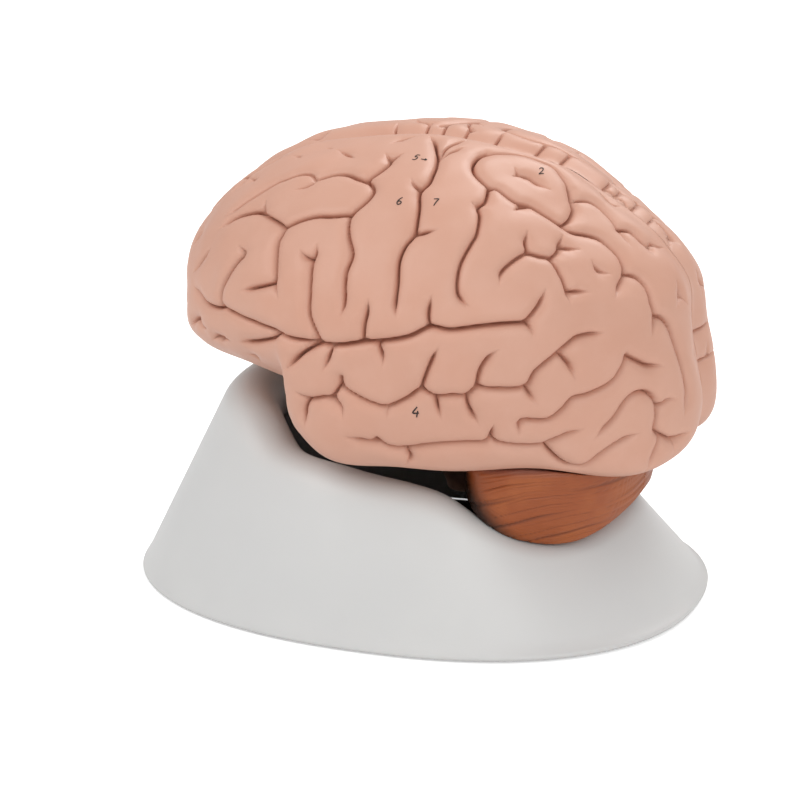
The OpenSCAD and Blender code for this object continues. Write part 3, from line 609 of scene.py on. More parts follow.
def floor_under(points, side, sizes):
    """Lowest heights that keep points clear of the stand: below the rim only inside its opening,
    whose share of the way out is a norm, and on the right only where that holds along the slide."""
    room = sizes.rim_r + OPENING_GAP
    x = np.abs(points[:, 0]) + (0 if side > 0 else SLIDE_ROOM)
    y = np.abs(points[:, 1] - (sizes.rim_rear - sizes.rim_front) / 2)
    half_length = (sizes.rim_front + sizes.rim_rear) / 2 - room
    share = ((x / (sizes.rim_w - room)) ** RIM_POWER
             + (y / half_length) ** RIM_POWER) ** (1 / RIM_POWER)
    return rim_height(points[:, 1]) + RIM_GAP - OPENING_SLOPE * np.maximum(0, 1 - share)


def box_reach(d, sizes):
    """Reach of the cerebellum's rounded box in each direction: with a power p, the sum of
    |d_i / half size_i|^p, raised to -1/p."""
    half = np.stack((np.full(len(d), sizes.cereb_w), np.full(len(d), sizes.cereb_l),
                     np.where(d[:, 2] < 0, sizes.cereb_depth, sizes.cereb_rise)), -1)
    return ((np.abs(d) / half) ** CEREB_POWER).sum(1) ** (-1 / CEREB_POWER)


def leaf_grooves(places, run, sizes):
    """Depth of the grooves between the leaves and the paint in them. The leaves lie nearly level:
    they follow bent surfaces of equal height that draw together towards the front corner. Every
    few leaves a deeper groove parts two lobes."""
    y = (places[:, 1] - sizes.brain_y - sizes.cereb_back) / sizes.cereb_l
    z = (places[:, 2] - sizes.brain_z + sizes.cereb_drop) / sizes.cereb_depth
    level = z * (1 + LEAF_FAN * y) + LEAF_SAG * y * y - LEAF_TILT * y
    level = level + 0.007 * np.sin(5.1 * y + 9 * z) + 0.003 * np.sin(17 * y - 21 * z + 1.3)
    phase = level * sizes.leaves
    number = np.floor(phase)
    saw = np.abs(phase - number - 0.5) * 2
    strength = 0.5 + 0.35 * np.sin(number * 2.4 + 0.7) + 0.3 * np.sin(3.1 * y + number * 1.7)
    fine = bell(saw, 0.42) * np.clip(strength, 0.08, 1)
    lobe = phase / LEAVES_PER_LOBE + 0.2
    coarse = bell(np.abs(lobe - np.floor(lobe) - 0.5) * 2, 0.13) * (
        0.55 + 0.45 * np.sin(np.floor(lobe) * 2.1 + 4.2 * y))
    fade = ease(run / 0.10)
    depth = (sizes.leaf_depth * fine + LOBE_GROOVE * coarse) * fade
    return depth, np.clip((0.6 * fine + 0.8 * coarse) * fade, 0, 1)


def build_cerebellum(name, side, sizes, finish, body):
    """A rounded box, narrower to the rear, drawn along great arcs from a root at its front corner
    to the middle plane, and carved with leaves."""
    around, steps = 560, 124
    phi = np.linspace(0, 2 * np.pi, around, endpoint=False)[:, None]
    t = np.linspace(0, 1, steps + 1)[None, 1:]
    root = unit(LEAF_ROOT)
    end = np.stack((0 * phi, np.cos(phi), np.sin(phi)), -1)
    w = np.arccos(np.clip((end * root).sum(-1), -1, 1))
    d = np.sin((1 - t) * w)[..., None] * root + np.sin(t * w)[..., None] * end
    d = np.vstack(((d / np.sin(w)[..., None]).reshape(-1, 3), root))
    run = np.append(np.broadcast_to(t, (around, steps)).ravel(), 0)
    centre = np.array((0, sizes.brain_y + sizes.cereb_back, sizes.brain_z - sizes.cereb_drop))
    reach = box_reach(d, sizes)
    groove, paint = leaf_grooves(centre + d * reach[:, None], run, sizes)
    even = d * (reach - groove)[:, None]
    even[:, 0] *= 1 - sizes.cereb_taper * even[:, 1] / sizes.cereb_l
    points = lowered(centre + even, sizes, GLUE_GAP)
    floor = floor_under(points, side, sizes)
    points[:, 2] = np.maximum(points[:, 2], np.minimum(floor, centre[2] - 1))
    points[:, 0] = np.maximum(points[:, 0], sizes.inner_wall)
    every = np.vstack((points, [[sizes.inner_wall, centre[1], centre[2] - 6]]))
    every[:, 0] *= side
    count = around * steps
    loop = np.arange(around) * steps
    faces = (grid_faces(around, steps, wrap_rows=True), fan_faces(loop, count),
             fan_faces(loop + steps - 1, count + 1)[:, ::-1])
    # Painted shade: below a leaning line the front of the cerebellum is painted nearly black, in
    # place of its shadow.
    shade_line = centre[1] - SHADE_END * sizes.cereb_l + SHADE_LEAN * (centre[2] - every[:, 2])
    front = ease((shade_line - every[:, 1]) / SHADE_BLUR)
    seam = ease((every[:, 2] - centre[2] - 0.5) / 1.5)
    values = {"paint": np.append(paint, 0), "front": front, "seam": seam}
    return make_piece(name, every, faces, finish, body, values, flip=side < 0)


# Brain stem
# Rings of the stem: height as a share of the way from its lower end to the top of the pons, place
# of the middle in y, width as a share of the way from the end's to the pons's, half depth.
STEM_RINGS = ((0, 17, 0, 6), (0.15, 16.5, 0.1, 6.5), (0.35, 15, 0.35, 7.5),
              (0.45, 12.5, 0.8, 9.5), (0.6, 11, 1, 11), (0.8, 11, 0.95, 10.5),
              (0.9, 12.5, 0.7, 9), (1.3, 12.5, 0.6, 8.5))
# How far its middle is set forward, level and spread of the pons, depth and pitch of the cross
# bands, depth and width of the groove.
STEM_AHEAD = 8
PONS_LEVEL, PONS_SPREAD = 0.65, 0.22
PONS_BANDS, BAND_PITCH = 0.25, 3.1
STEM_GROOVE, GROOVE_WIDTH = 0.8, 0.12


def build_stem(name, side, sizes, finish, body):
    """Half of a stem of elliptical rings whose middle, width and depth follow smooth curves of the
    height, with shallow cross bands on the pons and a groove down its front."""
    rings = curved(STEM_RINGS, 8)
    around = 72
    a = np.linspace(0, np.pi, around)
    width = sizes.stem_end_w + rings[:, 2:3] * (sizes.pons_w - sizes.stem_end_w)
    height = sizes.stem_end_z + rings[:, 0:1] * (sizes.stem_top_z - sizes.stem_end_z)
    pons = bell(rings[:, 0:1] - PONS_LEVEL, PONS_SPREAD)
    groove = STEM_GROOVE * bell(a - np.pi, GROOVE_WIDTH) * (0.4 + 0.6 * pons)
    band = PONS_BANDS * pons * np.sin(height * BAND_PITCH) ** 2 + groove
    points = np.stack(np.broadcast_arrays(
        (width - band) * np.sin(a),
        sizes.brain_y + rings[:, 1:2] - STEM_AHEAD + (rings[:, 3:4] - band) * np.cos(a),
        height), -1)
    rows = len(rings)
    points = lowered(points.reshape(-1, 3), sizes, STEM_GAP)
    points[:, 0] = np.maximum(points[:, 0], sizes.inner_wall)
    low = points[:around].mean(0) * (0, 1, 1) + (sizes.inner_wall, 0, 0)
    top = points[-around:].mean(0) * (0, 1, 1) + (sizes.inner_wall, 0, 0)
    every = np.vstack((points, low, top))
    every[:, 0] *= side
    count = rows * around
    first = np.arange(rows) * around
    inner = np.stack((first[:-1], first[1:], first[1:] + around - 1, first[:-1] + around - 1), -1)
    ring = np.arange(around - 1)
    caps = (np.stack((ring, ring + 1, np.full(around - 1, count)), -1),
            np.array([[around - 1, 0, count]]))
    tops = (np.stack((ring + 1, ring, np.full(around - 1, count + 1)), -1)
            + np.array([[count - around, count - around, 0]]),
            np.array([[count - around, count - 1, count + 1]]))
    faces = (grid_faces(rows, around)[:, ::-1], inner[:, ::-1],
             caps[0][:, ::-1], caps[1][:, ::-1], tops[0][:, ::-1], tops[1][:, ::-1])
    return make_piece(name, every, faces, finish, body,
                      {"paint": np.append(np.clip(band.ravel() * 1.2, 0, 1), [0, 0])},
                      flip=side > 0)


# Stand
# Rounding of the foot's edge, and the shares of the way at which the wall has points, up its outer
# side and down its inner side.
EDGE_R = 1.0
WALL_STEPS = (0.08, 0.2, 0.35, 0.5, 0.65, 0.8, 0.9, 0.96)
INNER_STEPS = (0.8, 0.6, 0.4, 0.2, 0.05)


def oval(a, power, half_x, half_y):
    """A superellipse at angle a: the circle's point pushed out by the norm of the given power."""
    k = (np.abs(np.sin(a)) ** power + np.abs(np.cos(a)) ** power) ** (-1 / power)
    return np.stack((half_x * k * np.sin(a), half_y * k * np.cos(a)), -1)


def build_stand(sizes, finish):
    """A skirt from an oval foot to an oval rim line, its section a leaning wall, a roll over the
    rim and the same path back inside, carried round as one closed surface."""
    around = 420
    a = np.linspace(0, 2 * np.pi, around, endpoint=False)
    foot = oval(a, FOOT_POWER, sizes.foot_w / 2, sizes.foot_l / 2)
    foot[:, 0] *= 1 + FOOT_TAPER * (2 * foot[:, 1] / sizes.foot_l - FOOT_TAPER_FROM)
    line = oval(a, RIM_POWER, sizes.rim_w, (sizes.rim_front + sizes.rim_rear) / 2)
    line[:, 1] += (sizes.rim_rear - sizes.rim_front) / 2
    r, wall = sizes.rim_r, sizes.wall
    z = rim_height(line[:, 1]) - r
    run = np.linalg.norm(foot - line, axis=1)
    out = (foot - line) / run[:, None]
    lean = np.arctan2(run - r, z)
    columns = []

    def add(distance, height):
        columns.append(np.stack((line[:, 0] + out[:, 0] * distance,
                                 line[:, 1] + out[:, 1] * distance, height), -1))

    slope = wall / np.cos(lean)
    top_o, top_z = r * np.cos(lean), z + r * np.sin(lean)
    for k in range(5):
        b = -np.pi / 2 + k / 4 * (np.pi / 2 + lean)
        add(run - EDGE_R * (1.2 - np.cos(b)), EDGE_R * (1 + np.sin(b)))
    for share in WALL_STEPS:
        add(run * (1 - share) + top_o * share, top_z * share)
    end = math.radians(sizes.rim_end)
    for share in np.linspace(0, 1, 25):
        b = lean + share * (end - lean)
        add(r * np.cos(b), z + r * np.sin(b))
    for b in end + np.linspace(0, 1, 5)[1:-1] * math.pi:
        add((r - wall / 2) * math.cos(end) + wall / 2 * np.cos(b) + 0 * z,
            z + (r - wall / 2) * math.sin(end) + wall / 2 * np.sin(b))
    for share in np.linspace(1, 0, 25):
        b = lean + share * (end - lean)
        add((r - wall) * np.cos(b), z + (r - wall) * np.sin(b))
    for share in INNER_STEPS:
        add((run - slope) * (1 - share) + (r - wall) * np.cos(lean) * share,
            (z + (r - wall) * np.sin(lean)) * share)
    add(run - slope, 0 * z)
    points = np.stack(columns, 1).reshape(-1, 3)
    return make_piece("stand", points, (grid_faces(around, len(columns), True, True),), finish,
                      "stand_and_left_half")


# Numerals
# Half width of a stroke in degrees, and its outer and inner level in millimetres.
STROKE_HALF_DEG = 0.17
INK_LIFT, INK_ROOT = 0.16, -0.5


def build_numerals(sizes, finish):
    """Brush strokes laid on the left half: each stroke is a smooth line on the map, widened to a
    ribbon along the surface and given a thin closed section."""
    points, faces, start = [], [], 0
    for digit, u, v, height, slant in NUMERALS:
        for stroke in DIGITS[digit]:
            p = curved(stroke, 4)
            p = np.stack(((p[:, 0] - 0.3 + slant * (p[:, 1] - 0.5)) * height + u,
                          (p[:, 1] - 0.5) * height + v), -1)
            along = unit(np.gradient(p, axis=0))
            across = np.stack((-along[:, 1], along[:, 0]), -1)
            swell = 0.65 + 0.35 * np.sin(np.linspace(0.3, 2.8, len(p)))
            half = STROKE_HALF_DEG * swell[:, None]
            for lift, sides in ((INK_LIFT, (1, -1)), (INK_ROOT, (-1, 1))):
                for sign in sides:
                    d = directions(p + sign * half * across)
                    points.append(carved(d, 1, sizes)[0] + d * lift)
            n = len(p)
            index = start + np.arange(4)[None] * n + np.arange(n)[:, None]
            quads = np.stack((index[:-1], np.roll(index[:-1], -1, 1), np.roll(index[1:], -1, 1),
                              index[1:]), -1).reshape(-1, 4)
            faces += [quads, index[0][None, ::-1], index[-1][None]]
            start += 4 * n
    every = np.vstack(points) + (0, sizes.brain_y, sizes.brain_z)
    return make_piece("numerals", every, faces, finish, "stand_and_left_half")


# Finishes
class Wire:
    """A number on a node socket, so that shader maths is written as plain expressions."""

    def __init__(self, tree, socket):
        self.tree, self.socket = tree, socket

    def _math(self, operation, first, second):
        """A Math node on two values, each a wire or a plain number."""
        node = self.tree.nodes.new("ShaderNodeMath")
        node.operation = operation
        for slot, value in zip(node.inputs, (first, second)):
            if isinstance(value, Wire):
                self.tree.links.new(value.socket, slot)
            else:
                slot.default_value = value
        return Wire(self.tree, node.outputs[0])

    def __add__(self, other):
        return self._math("ADD", self, other)

    def __mul__(self, other):
        return self._math("MULTIPLY", self, other)

    def __truediv__(self, other):
        return self._math("DIVIDE", self, other)

    __radd__ = __add__
    __rmul__ = __mul__


class Finish:
    """A material made of one Principled surface and the nodes that vary over it."""

    def __init__(self, name, **constants):
        self.material = bpy.data.materials.new(name)
        self.material.use_nodes = True
        self.tree = self.material.node_tree
        self.tree.nodes.clear()
        self.surface = self.add("ShaderNodeBsdfPrincipled")
        for key, value in constants.items():
            self.surface.inputs[key.replace("_", " ")].default_value = value
        output = self.add("ShaderNodeOutputMaterial")
        self.tree.links.new(self.surface.outputs[0], output.inputs[0])
        self.place = self.add("ShaderNodeTexCoord").outputs["Object"]

    def add(self, kind, settings=None, inputs=None):
        """A node of a kind: its settings first, then its sockets' values or links."""
        node = self.tree.nodes.new(kind)
        for key, value in (settings or {}).items():
            setattr(node, key, value)
        for key, value in (inputs or {}).items():
            value = getattr(value, "socket", value)
            if isinstance(value, bpy.types.NodeSocket):
                self.tree.links.new(value, node.inputs[key])
            else:
                node.inputs[key].default_value = value
        return node

    def noise(self, scale, detail):
        """A cloud pattern on the piece's own coordinates, as a number."""
        node = self.add("ShaderNodeTexNoise", None, {"Vector": self.place, "Scale": scale,
                                                     "Detail": detail, "Roughness": 0.55})
        return Wire(self.tree, node.outputs[0])

    def value(self, name):
        """A number stored at the points of the piece."""
        node = self.add("ShaderNodeAttribute", {"attribute_name": name})
        return Wire(self.tree, node.outputs["Fac"])

    def range(self, number, low, high):
        """A number's stretch from low to high spread smoothly over 0 to 1."""
        node = self.add("ShaderNodeMapRange", {"interpolation_type": "SMOOTHSTEP"},
                        {0: number, 1: low, 2: high, 3: 0.0, 4: 1.0})
        return Wire(self.tree, node.outputs[0])

    def blend(self, factor, first, second):
        """Two colours mixed by a number."""
        node = self.add("ShaderNodeMix", {"data_type": "RGBA"}, {0: factor, 6: first, 7: second})
        return node.outputs[2]

    def feed(self, colour, roughness=None, bump=None, strength=0.1, distance=0.0002):
        """Links what varies to the surface's own sockets."""
        self.tree.links.new(colour, self.surface.inputs["Base Color"])
        if roughness is not None:
            self.tree.links.new(roughness.socket, self.surface.inputs["Roughness"])
        if bump is not None:
            node = self.add("ShaderNodeBump", None, {"Height": bump, "Strength": strength,
                                                     "Distance": distance})
            self.tree.links.new(node.outputs[0], self.surface.inputs["Normal"])
        return self.material


def rgba(colour):
    """A colour with full cover."""
    return (*colour, 1.0)


def flesh_finish(look):
    """Painted flesh-coloured plastic, darker and redder in the furrows, slightly mottled."""
    f = Finish("flesh_plastic", Specular_IOR_Level=0.35)
    paint = f.value("paint")
    mottle = f.range(f.noise(38, 2), 0.35, 0.65)
    blush = f.range(f.noise(120, 4), 0.4, 0.7)
    skin = f.blend(mottle * 0.5, rgba(look.flesh), rgba(look.flesh_warm))
    skin = f.blend(blush * 0.14, skin, rgba(look.flesh_pale))
    skin = f.blend(f.range(paint, 0.1, 0.9) * 0.5, skin, rgba(look.furrow))
    grain = f.noise(900, 3)
    return f.feed(skin, 0.42 + 0.12 * blush + 0.15 * paint, grain, 0.12, 0.0002)


def inner_finish(look):
    """The painted inner face: flesh with pale arched bands and darker hollows."""
    f = Finish("inner_face_paint", Specular_IOR_Level=0.35)
    mottle = f.range(f.noise(38, 2), 0.35, 0.65)
    skin = f.blend(mottle * 0.5, rgba(look.flesh), rgba(look.flesh_warm))
    skin = f.blend(f.range(f.value("pale"), 0.35, 0.6), skin, rgba(look.ivory))
    # Darker in the ventricle recess, and painted shade in the spots of the peg holes.
    skin = f.blend(f.value("hollow") * 0.8, skin, rgba(look.furrow))
    skin = f.blend(f.value("paint") * 0.8, skin, rgba(look.furrow))
    return f.feed(skin, 0.42 + 0.1 * mottle, f.noise(900, 3), 0.12, 0.0002)


def cerebellum_finish(look):
    """Terracotta paint, brushed along the leaves, dark in the grooves, with painted shade on its
    front and a low shine.
    """
    f = Finish("terracotta_paint", Specular_IOR_Level=0.4)
    paint = f.value("paint")
    cloud = f.range(f.noise(60, 3), 0.35, 0.68)
    tone = f.blend(cloud * 0.6, rgba(look.terracotta), rgba(look.terracotta_light))
    tone = f.blend(f.range(paint, 0.1, 0.9) * 0.6, tone, rgba(look.terracotta_dark))
    # Painted shade on the front of the cerebellum.
    tone = f.blend(f.value("front") * 0.97, tone, rgba(look.shade))
    tone = f.blend(f.value("seam") * (0.4 + 0.5 * cloud), tone, rgba(look.glue))
    return f.feed(tone, 0.34 + 0.15 * cloud, f.noise(700, 3), 0.15, 0.0002)


def stem_finish(look):
    """Brownish paint over ivory plastic."""
    f = Finish("stem_paint", Specular_IOR_Level=0.4)
    cloud = f.range(f.noise(90, 4), 0.35, 0.65)
    tone = f.blend(cloud * 0.7, rgba(look.stem), rgba(look.stem_dark))
    tone = f.blend(f.value("paint") * 0.7, tone, rgba(look.terracotta_dark))
    return f.feed(tone, 0.4 + 0.15 * cloud, f.noise(800, 3), 0.15, 0.0002)


def stand_finish(look):
    """Pale grey moulded plastic with a fine satin grain and faint flow clouds."""
    f = Finish("stand_plastic", Specular_IOR_Level=0.4)
    cloud = f.range(f.noise(14, 3), 0.3, 0.7)
    tone = f.blend(cloud, rgba(look.stand), rgba(look.stand_shade))
    return f.feed(tone, 0.4 + 0.08 * f.noise(260, 4), f.noise(1400, 2), 0.08, 0.0002)


def peg_finish(look):
    """Turned steel with faint lighter clouds and a fine grain."""
    f = Finish("peg_steel", Metallic=1.0)
    cloud = f.noise(300, 4)
    tone = f.blend(cloud, rgba(look.steel), rgba(look.steel_light))
    return f.feed(tone, 0.25 + 0.2 * cloud, f.noise(2000, 2), 0.1, 0.0001)


def ink_finish(look):
    """Black brush paint, slightly thin at places."""
    f = Finish("black_paint", Specular_IOR_Level=0.3)
    cloud = f.noise(600, 3)
    tone = f.blend(cloud * 0.5, rgba(look.ink), rgba(look.ink_thin))
    return f.feed(tone, 0.5 + 0.2 * cloud)


# Properties
def size(name, text, default, low=0.1, high=300.0):
    """A size that a user can change."""
    return FloatProperty(name=name, description=text, default=default, min=low, max=high)


def tint(name, text, default):
    """A colour that a user can change."""
    return FloatVectorProperty(name=name, description=text, default=default, size=3, min=0, max=1,
                               subtype="COLOR")


class BrainSizes(bpy.types.PropertyGroup):
    """Sizes in millimetres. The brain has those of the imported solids, while the rim of the stand
    is lower in places and the cerebellum deeper."""

    brain_y: size("Brain Middle", "Centre of the brain behind the middle of the stand", 5)
    brain_z: size("Brain Height", "Height of the centre of the brain", 96)
    half_w: size("Half Width", "Reach of one half sideways", 67)
    front_reach: size("Front Reach", "Reach of the brain forward", 77)
    rear_reach: size("Rear Reach", "Reach of the brain backward", 81)
    top_rise: size("Top Rise", "Rise of the brain above its centre", 45)
    low_reach: size("Low Reach", "Reach of the round form downward", 88)
    fissure_drop: size("Fissure Roll", "Radius lost at the middle fissure", 3)
    inner_wall: size("Inner Wall", "Distance of the inner wall from the middle plane", 0.2)
    border: size("Border", "Inner edge of the flat border as a share of the outline", 0.985)
    recess: size("Recess", "Depth of the recess that holds the inner face", 6)
    grid: IntProperty(name="Grid", description="Cells along one side of a half", default=308)
    furrow_depth: size("Furrow Depth", "Depth of the main furrows", 2.8)
    fissure_depth: size("Fissure Depth", "Depth of the side fissure", 4.0)
    fine_depth: size("Fine Depth", "Depth of the fine furrows", 1.6)
    furrow_width: size("Furrow Width", "Half width of a main furrow", 0.42)
    swell_depth: size("Swell Depth", "Fall of the folds towards a furrow", 1.1)
    swell_width: size("Swell Width", "Width of that fall", 1.9)
    cereb_w: size("Cerebellum Half Width", "Reach of the cerebellum sideways", 42)
    cereb_l: size("Cerebellum Half Length", "Half of its length", 24.5)
    cereb_depth: size("Cerebellum Depth", "Depth below its widest level", 31)
    cereb_rise: size("Cerebellum Rise", "Rise above its widest level", 4)
    cereb_taper: size("Cerebellum Taper", "Share by which its rear end is narrower", 0.25)
    cereb_back: size("Cerebellum Middle", "Centre behind the centre of the brain", 40.5)
    cereb_drop: size("Cerebellum Level", "Widest level below the centre of the brain", 46)
    leaves: IntProperty(name="Leaves", description="Leaves over the depth", default=30)
    leaf_depth: size("Leaf Depth", "Depth of the grooves between leaves", 0.4)
    pons_w: size("Pons Half Width", "Half width of the stem at the pons", 13)
    stem_end_w: size("Stem End Half Width", "Half width of its lower end", 6.5)
    stem_end_z: size("Stem End Height", "Height of its lower end", 30)
    stem_top_z: size("Stem Top Height", "Height of the top of the pons", 52)
    foot_l: size("Foot Length", "Length of the foot of the stand", 175)
    foot_w: size("Foot Width", "Width of the foot of the stand", 138)
    wall: size("Wall", "Wall of the stand", 3)
    rim_r: size("Rim Roll", "Radius of the rolled rim", 9.5)
    rim_front: size("Rim Front", "Front of the rim line", 52.5)
    rim_rear: size("Rim Rear", "Rear of the rim line", 61)
    rim_w: size("Rim Half Width", "Half width of the rim line", 45.5)
    rim_end: size("Rim End", "Angle at which the roll ends, in degrees", 205, 180, 260)


class BrainLook(bpy.types.PropertyGroup):
    """Colours of the finishes."""

    flesh: tint("Flesh", "Main colour of the cerebrum", (0.60, 0.333, 0.245))
    flesh_warm: tint("Warm Flesh", "Warmer patches", (0.585, 0.306, 0.218))
    flesh_pale: tint("Pale Flesh", "Paler patches", (0.66, 0.40, 0.315))
    furrow: tint("Furrow Paint", "Paint in the furrows", (0.38, 0.110, 0.058))
    terracotta: tint("Terracotta", "Main colour of the cerebellum", (0.30, 0.070, 0.016))
    terracotta_light: tint("Light Terracotta", "Lighter brush marks", (0.40, 0.112, 0.028))
    terracotta_dark: tint("Dark Terracotta", "Paint between the leaves", (0.10, 0.022, 0.008))
    # Painted shade, laid on the front of the cerebellum in place of its shadow.
    shade: tint("Deep Shade", "Paint on the front of the cerebellum", (0.020, 0.008, 0.004))
    glue: tint("Glue Seam", "Paint along the seam under the brain", (0.42, 0.22, 0.18))
    stem: tint("Stem", "Colour of the brain stem", (0.26, 0.15, 0.11))
    stem_dark: tint("Dark Stem", "Shaded paint of the stem", (0.12, 0.06, 0.045))
    ivory: tint("Ivory", "Pale bands of the inner face", (0.72, 0.60, 0.44))
    stand: tint("Stand", "Colour of the stand", (0.61, 0.61, 0.60))
    stand_shade: tint("Stand Shade", "Its faint darker clouds", (0.58, 0.58, 0.575))
    ink: tint("Ink", "Paint of the numerals", (0.02, 0.015, 0.015))
    ink_thin: tint("Thin Ink", "Where the paint lies thin", (0.09, 0.06, 0.05))
    steel: tint("Steel", "Colour of the pegs", (0.50, 0.51, 0.53))
    steel_light: tint("Light Steel", "Their lighter streaks", (0.66, 0.66, 0.67))


# Operators
SIDES = (("left", 1, "stand_and_left_half"), ("right", -1, "right_half"))


class PieceOperator:
    """What the operators share: their sizes and colours."""

    bl_options = {"REGISTER", "UNDO"}

    def parts(self, context):
        """The sizes and the colours of the scene."""
        return context.scene.brain_sizes, context.scene.brain_look


class BRAIN_OT_cerebrum(PieceOperator, bpy.types.Operator):
    """Build both folded halves of the cerebrum"""
    bl_idname = "brain.cerebrum"
    bl_label = "Cerebrum Halves"

    def execute(self, context):
        sizes, look = self.parts(context)
        finish = flesh_finish(look)
        for word, side, body in SIDES:
            piece = build_half(word + "_half", side, sizes, finish, body)
            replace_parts(piece, "left_cerebrum" if side > 0 else "right_cerebrum")
        return {"FINISHED"}


class BRAIN_OT_inner_faces(PieceOperator, bpy.types.Operator):
    """Build the painted inner faces that show when the halves are apart"""
    bl_idname = "brain.inner_faces"
    bl_label = "Inner Faces"

    def execute(self, context):
        sizes, look = self.parts(context)
        finish = inner_finish(look)
        for word, side, body in SIDES:
            build_inner_face(word + "_inner_face", side, sizes, finish, body)
        return {"FINISHED"}


class BRAIN_OT_cerebellum(PieceOperator, bpy.types.Operator):
    """Build both halves of the leafy cerebellum"""
    bl_idname = "brain.cerebellum"
    bl_label = "Cerebellum Halves"

    def execute(self, context):
        sizes, look = self.parts(context)
        finish = cerebellum_finish(look)
        for word, side, body in SIDES:
            piece = build_cerebellum(word + "_leaves", side, sizes, finish, body)
            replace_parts(piece, "left_cerebellum" if side > 0 else "right_cerebellum")
        return {"FINISHED"}


class BRAIN_OT_stem(PieceOperator, bpy.types.Operator):
    """Build both halves of the brain stem"""
    bl_idname = "brain.stem"
    bl_label = "Brain Stem"

    def execute(self, context):
        sizes, look = self.parts(context)
        finish = stem_finish(look)
        for word, side, body in SIDES:
            piece = build_stem(word + "_stem", side, sizes, finish, body)
            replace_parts(piece, "left_brain_stem" if side > 0 else "right_brain_stem")
        return {"FINISHED"}


class BRAIN_OT_stand(PieceOperator, bpy.types.Operator):
    """Build the moulded stand with its rolled rim"""
    bl_idname = "brain.stand"
    bl_label = "Stand"

    def execute(self, context):
        sizes, look = self.parts(context)
        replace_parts(build_stand(sizes, stand_finish(look)), "base")
        return {"FINISHED"}


class BRAIN_OT_numerals(PieceOperator, bpy.types.Operator):
    """Paint the small plain numerals on the left half"""
    bl_idname = "brain.numerals"
    bl_label = "Numerals"

    def execute(self, context):
        sizes, look = self.parts(context)
        build_numerals(sizes, ink_finish(look))
        return {"FINISHED"}


class BRAIN_OT_pegs(PieceOperator, bpy.types.Operator):
    """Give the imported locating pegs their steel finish"""
    bl_idname = "brain.pegs"
    bl_label = "Pegs"

    def execute(self, context):
        _, look = self.parts(context)
        finish = peg_finish(look)
        for node in ("front_peg", "rear_peg"):
            for item in bpy.data.objects:
                if item.type == "MESH" and item.name.split(".")[0] == node:
                    item.data.materials.clear()
                    item.data.materials.append(finish)
        return {"FINISHED"}


class BRAIN_OT_stage(bpy.types.Operator):
    """Set the floor, the soft lamps and the camera"""
    bl_idname = "brain.stage"
    bl_label = "Stage"

    def execute(self, context):
        scene = context.scene
        scene.view_settings.view_transform = "Standard"
        add_camera(scene)
        add_floor(scene)
        add_lamps(scene)
        return {"FINISHED"}


# Stage
CAMERA_TARGET = (0, -0.0076, 0.0548)
CAMERA_TURN, CAMERA_RISE = math.radians(18), math.radians(19)
CAMERA_AWAY = 1.2
CAMERA_LENS, CAMERA_SENSOR = 177.75, 36
LAMP_TARGET = (0, 0, 0.08)
# Name, place in metres, size in metres and power of each lamp.
LAMPS = (("key", (0.7, -0.75, 1.25), 1.3, 10.5), ("fill", (1.0, 1.0, 0.7), 1.0, 7.0),
         ("back", (-0.9, 0.2, 1.0), 0.8, 8.0))
FLOOR_REACH, FLOOR_LEVEL = 6.0, -0.0006
# How far inside the edge of the foot the painted shadow on the floor ends, sideways and lengthwise.
PAINTED_SHADOW_INSET = (2.5, 1.0)
# Colour of the painted shadow inside the foot of the stand, then of the pale floor.
PAINTED_SHADOW_FLOOR = (0.03, 0.02, 0.015)
PALE_FLOOR = (0.9, 0.9, 0.9)
# Light from the surround, and what the camera sees in addition on it and on the floor.
SURROUND = 0.55
GLOW = 0.45


def aim(item, target):
    """Turns an object at its place to look at a target."""
    way = Vector(target) - item.location
    item.rotation_euler = way.to_track_quat("-Z", "Y").to_euler()


def add_camera(scene):
    """The photograph's viewpoint: the left side, turned a little to the rear and raised."""
    data = bpy.data.cameras.new("camera")
    data.sensor_width = CAMERA_SENSOR
    data.lens = CAMERA_LENS
    data.clip_end = 20
    camera = bpy.data.objects.new("camera", data)
    scene.collection.objects.link(camera)
    flat = math.cos(CAMERA_RISE)
    way = Vector((flat * math.cos(CAMERA_TURN), flat * math.sin(CAMERA_TURN),
                  math.sin(CAMERA_RISE)))
    camera.location = Vector(CAMERA_TARGET) + CAMERA_AWAY * way
    aim(camera, CAMERA_TARGET)
    scene.camera = camera


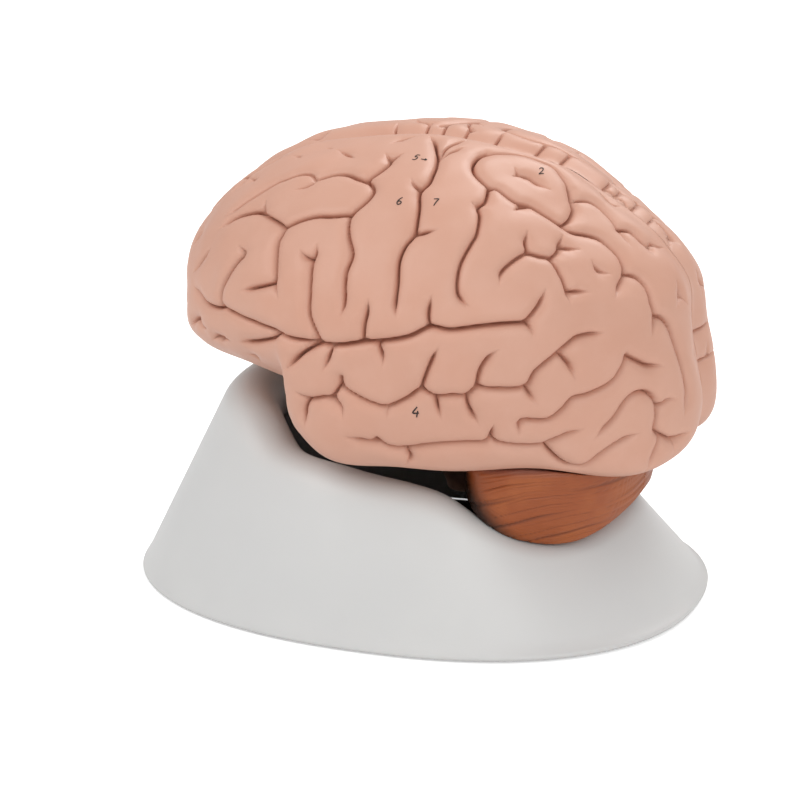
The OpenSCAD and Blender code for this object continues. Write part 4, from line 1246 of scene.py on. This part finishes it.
def add_floor(scene):
    """A wide pale floor, white to the camera except inside the foot of the stand, where it is
    painted dark as the shadow under the stand: an ellipse that widens to the rear as the foot does,
    drawn in a little."""
    f = Finish("pale_floor", Roughness=0.9, Specular_IOR_Level=0.1)
    ray = f.add("ShaderNodeLightPath")
    place = f.add("ShaderNodeSeparateXYZ", None, {0: f.place})
    x, y = (Wire(f.tree, place.outputs[i]) for i in (0, 1))
    sizes = scene.brain_sizes
    half_x = (sizes.foot_w / 2 - PAINTED_SHADOW_INSET[0]) * MM
    half_y = (sizes.foot_l / 2 - PAINTED_SHADOW_INSET[1]) * MM
    widening = 2 * FOOT_TAPER / (sizes.foot_l * MM)
    across = x / (widening * y + (1 - FOOT_TAPER * FOOT_TAPER_FROM))
    open_air = f.range(across * across / half_x ** 2 + y * y / half_y ** 2, 0.985, 1.0)
    seen = Wire(f.tree, ray.outputs["Is Camera Ray"]) * GLOW * open_air
    # Painted shadow: inside the foot the floor is dark in colour and has no glow.
    f.feed(f.blend(open_air, rgba(PAINTED_SHADOW_FLOOR), rgba(PALE_FLOOR)))
    f.surface.inputs["Emission Strength"].default_value = 1.0
    colour = f.blend(seen, (0, 0, 0, 1), (1, 1, 1, 1))
    f.tree.links.new(colour, f.surface.inputs["Emission Color"])
    mesh = bpy.data.meshes.new("floor")
    corners = [(i * FLOOR_REACH, j * FLOOR_REACH, FLOOR_LEVEL)
               for i, j in ((-1, -1), (1, -1), (1, 1), (-1, 1))]
    mesh.from_pydata(corners, [], [(0, 1, 2, 3)])
    mesh.materials.append(f.material)
    floor = bpy.data.objects.new("floor", mesh)
    scene.collection.objects.link(floor)


def add_lamp(scene, name, place, across, power):
    """A round lamp that looks at the middle of the model."""
    data = bpy.data.lights.new(name, "AREA")
    data.shape = "DISK"
    data.size = across
    data.energy = power
    lamp = bpy.data.objects.new(name, data)
    scene.collection.objects.link(lamp)
    lamp.location = place
    aim(lamp, LAMP_TARGET)


def add_lamps(scene):
    """A wide key from the upper front, a soft fill from the rear side, a lamp from beyond and a
    pale surround."""
    for name, place, across, power in LAMPS:
        add_lamp(scene, name, place, across, power)
    world = bpy.data.worlds.new("surround")
    scene.world = world
    world.use_nodes = True
    tree = world.node_tree
    tree.nodes.clear()
    ray = tree.nodes.new("ShaderNodeLightPath")
    seen = Wire(tree, ray.outputs["Is Camera Ray"])
    ambient = tree.nodes.new("ShaderNodeBackground")
    tree.links.new((SURROUND + GLOW * seen).socket, ambient.inputs["Strength"])
    ambient.inputs["Color"].default_value = (1, 1, 1, 1)
    output = tree.nodes.new("ShaderNodeOutputWorld")
    tree.links.new(ambient.outputs[0], output.inputs[0])


class BRAIN_PT_panel(bpy.types.Panel):
    """Lists the pieces of the model in the sidebar"""
    bl_label = "Brain Model"
    bl_space_type = "VIEW_3D"
    bl_region_type = "UI"
    bl_category = "Brain Model"

    def draw(self, context):
        column = self.layout.column(align=True)
        for operator in PIECES + (BRAIN_OT_stage,):
            column.operator(operator.bl_idname, text=operator.bl_label)
        for group in (context.scene.brain_sizes, context.scene.brain_look):
            box = self.layout.box()
            for key in group.bl_rna.properties.keys():
                if key not in ("rna_type", "name"):
                    box.prop(group, key)


PIECES = (BRAIN_OT_cerebrum, BRAIN_OT_inner_faces, BRAIN_OT_cerebellum, BRAIN_OT_stem,
          BRAIN_OT_stand, BRAIN_OT_numerals, BRAIN_OT_pegs)
CLASSES = (BrainSizes, BrainLook) + PIECES + (BRAIN_OT_stage, BRAIN_PT_panel)


def register():
    for item in CLASSES:
        bpy.utils.register_class(item)
    bpy.types.Scene.brain_sizes = PointerProperty(type=BrainSizes)
    bpy.types.Scene.brain_look = PointerProperty(type=BrainLook)


def unregister():
    del bpy.types.Scene.brain_look
    del bpy.types.Scene.brain_sizes
    for item in reversed(CLASSES):
        bpy.utils.unregister_class(item)


def main():
    """Builds every piece and the stage."""
    register()
    bpy.ops.brain.cerebrum()
    bpy.ops.brain.inner_faces()
    bpy.ops.brain.cerebellum()
    bpy.ops.brain.stem()
    bpy.ops.brain.stand()
    bpy.ops.brain.numerals()
    bpy.ops.brain.pegs()
    bpy.ops.brain.stage()


if __name__ == "__main__":
    main()
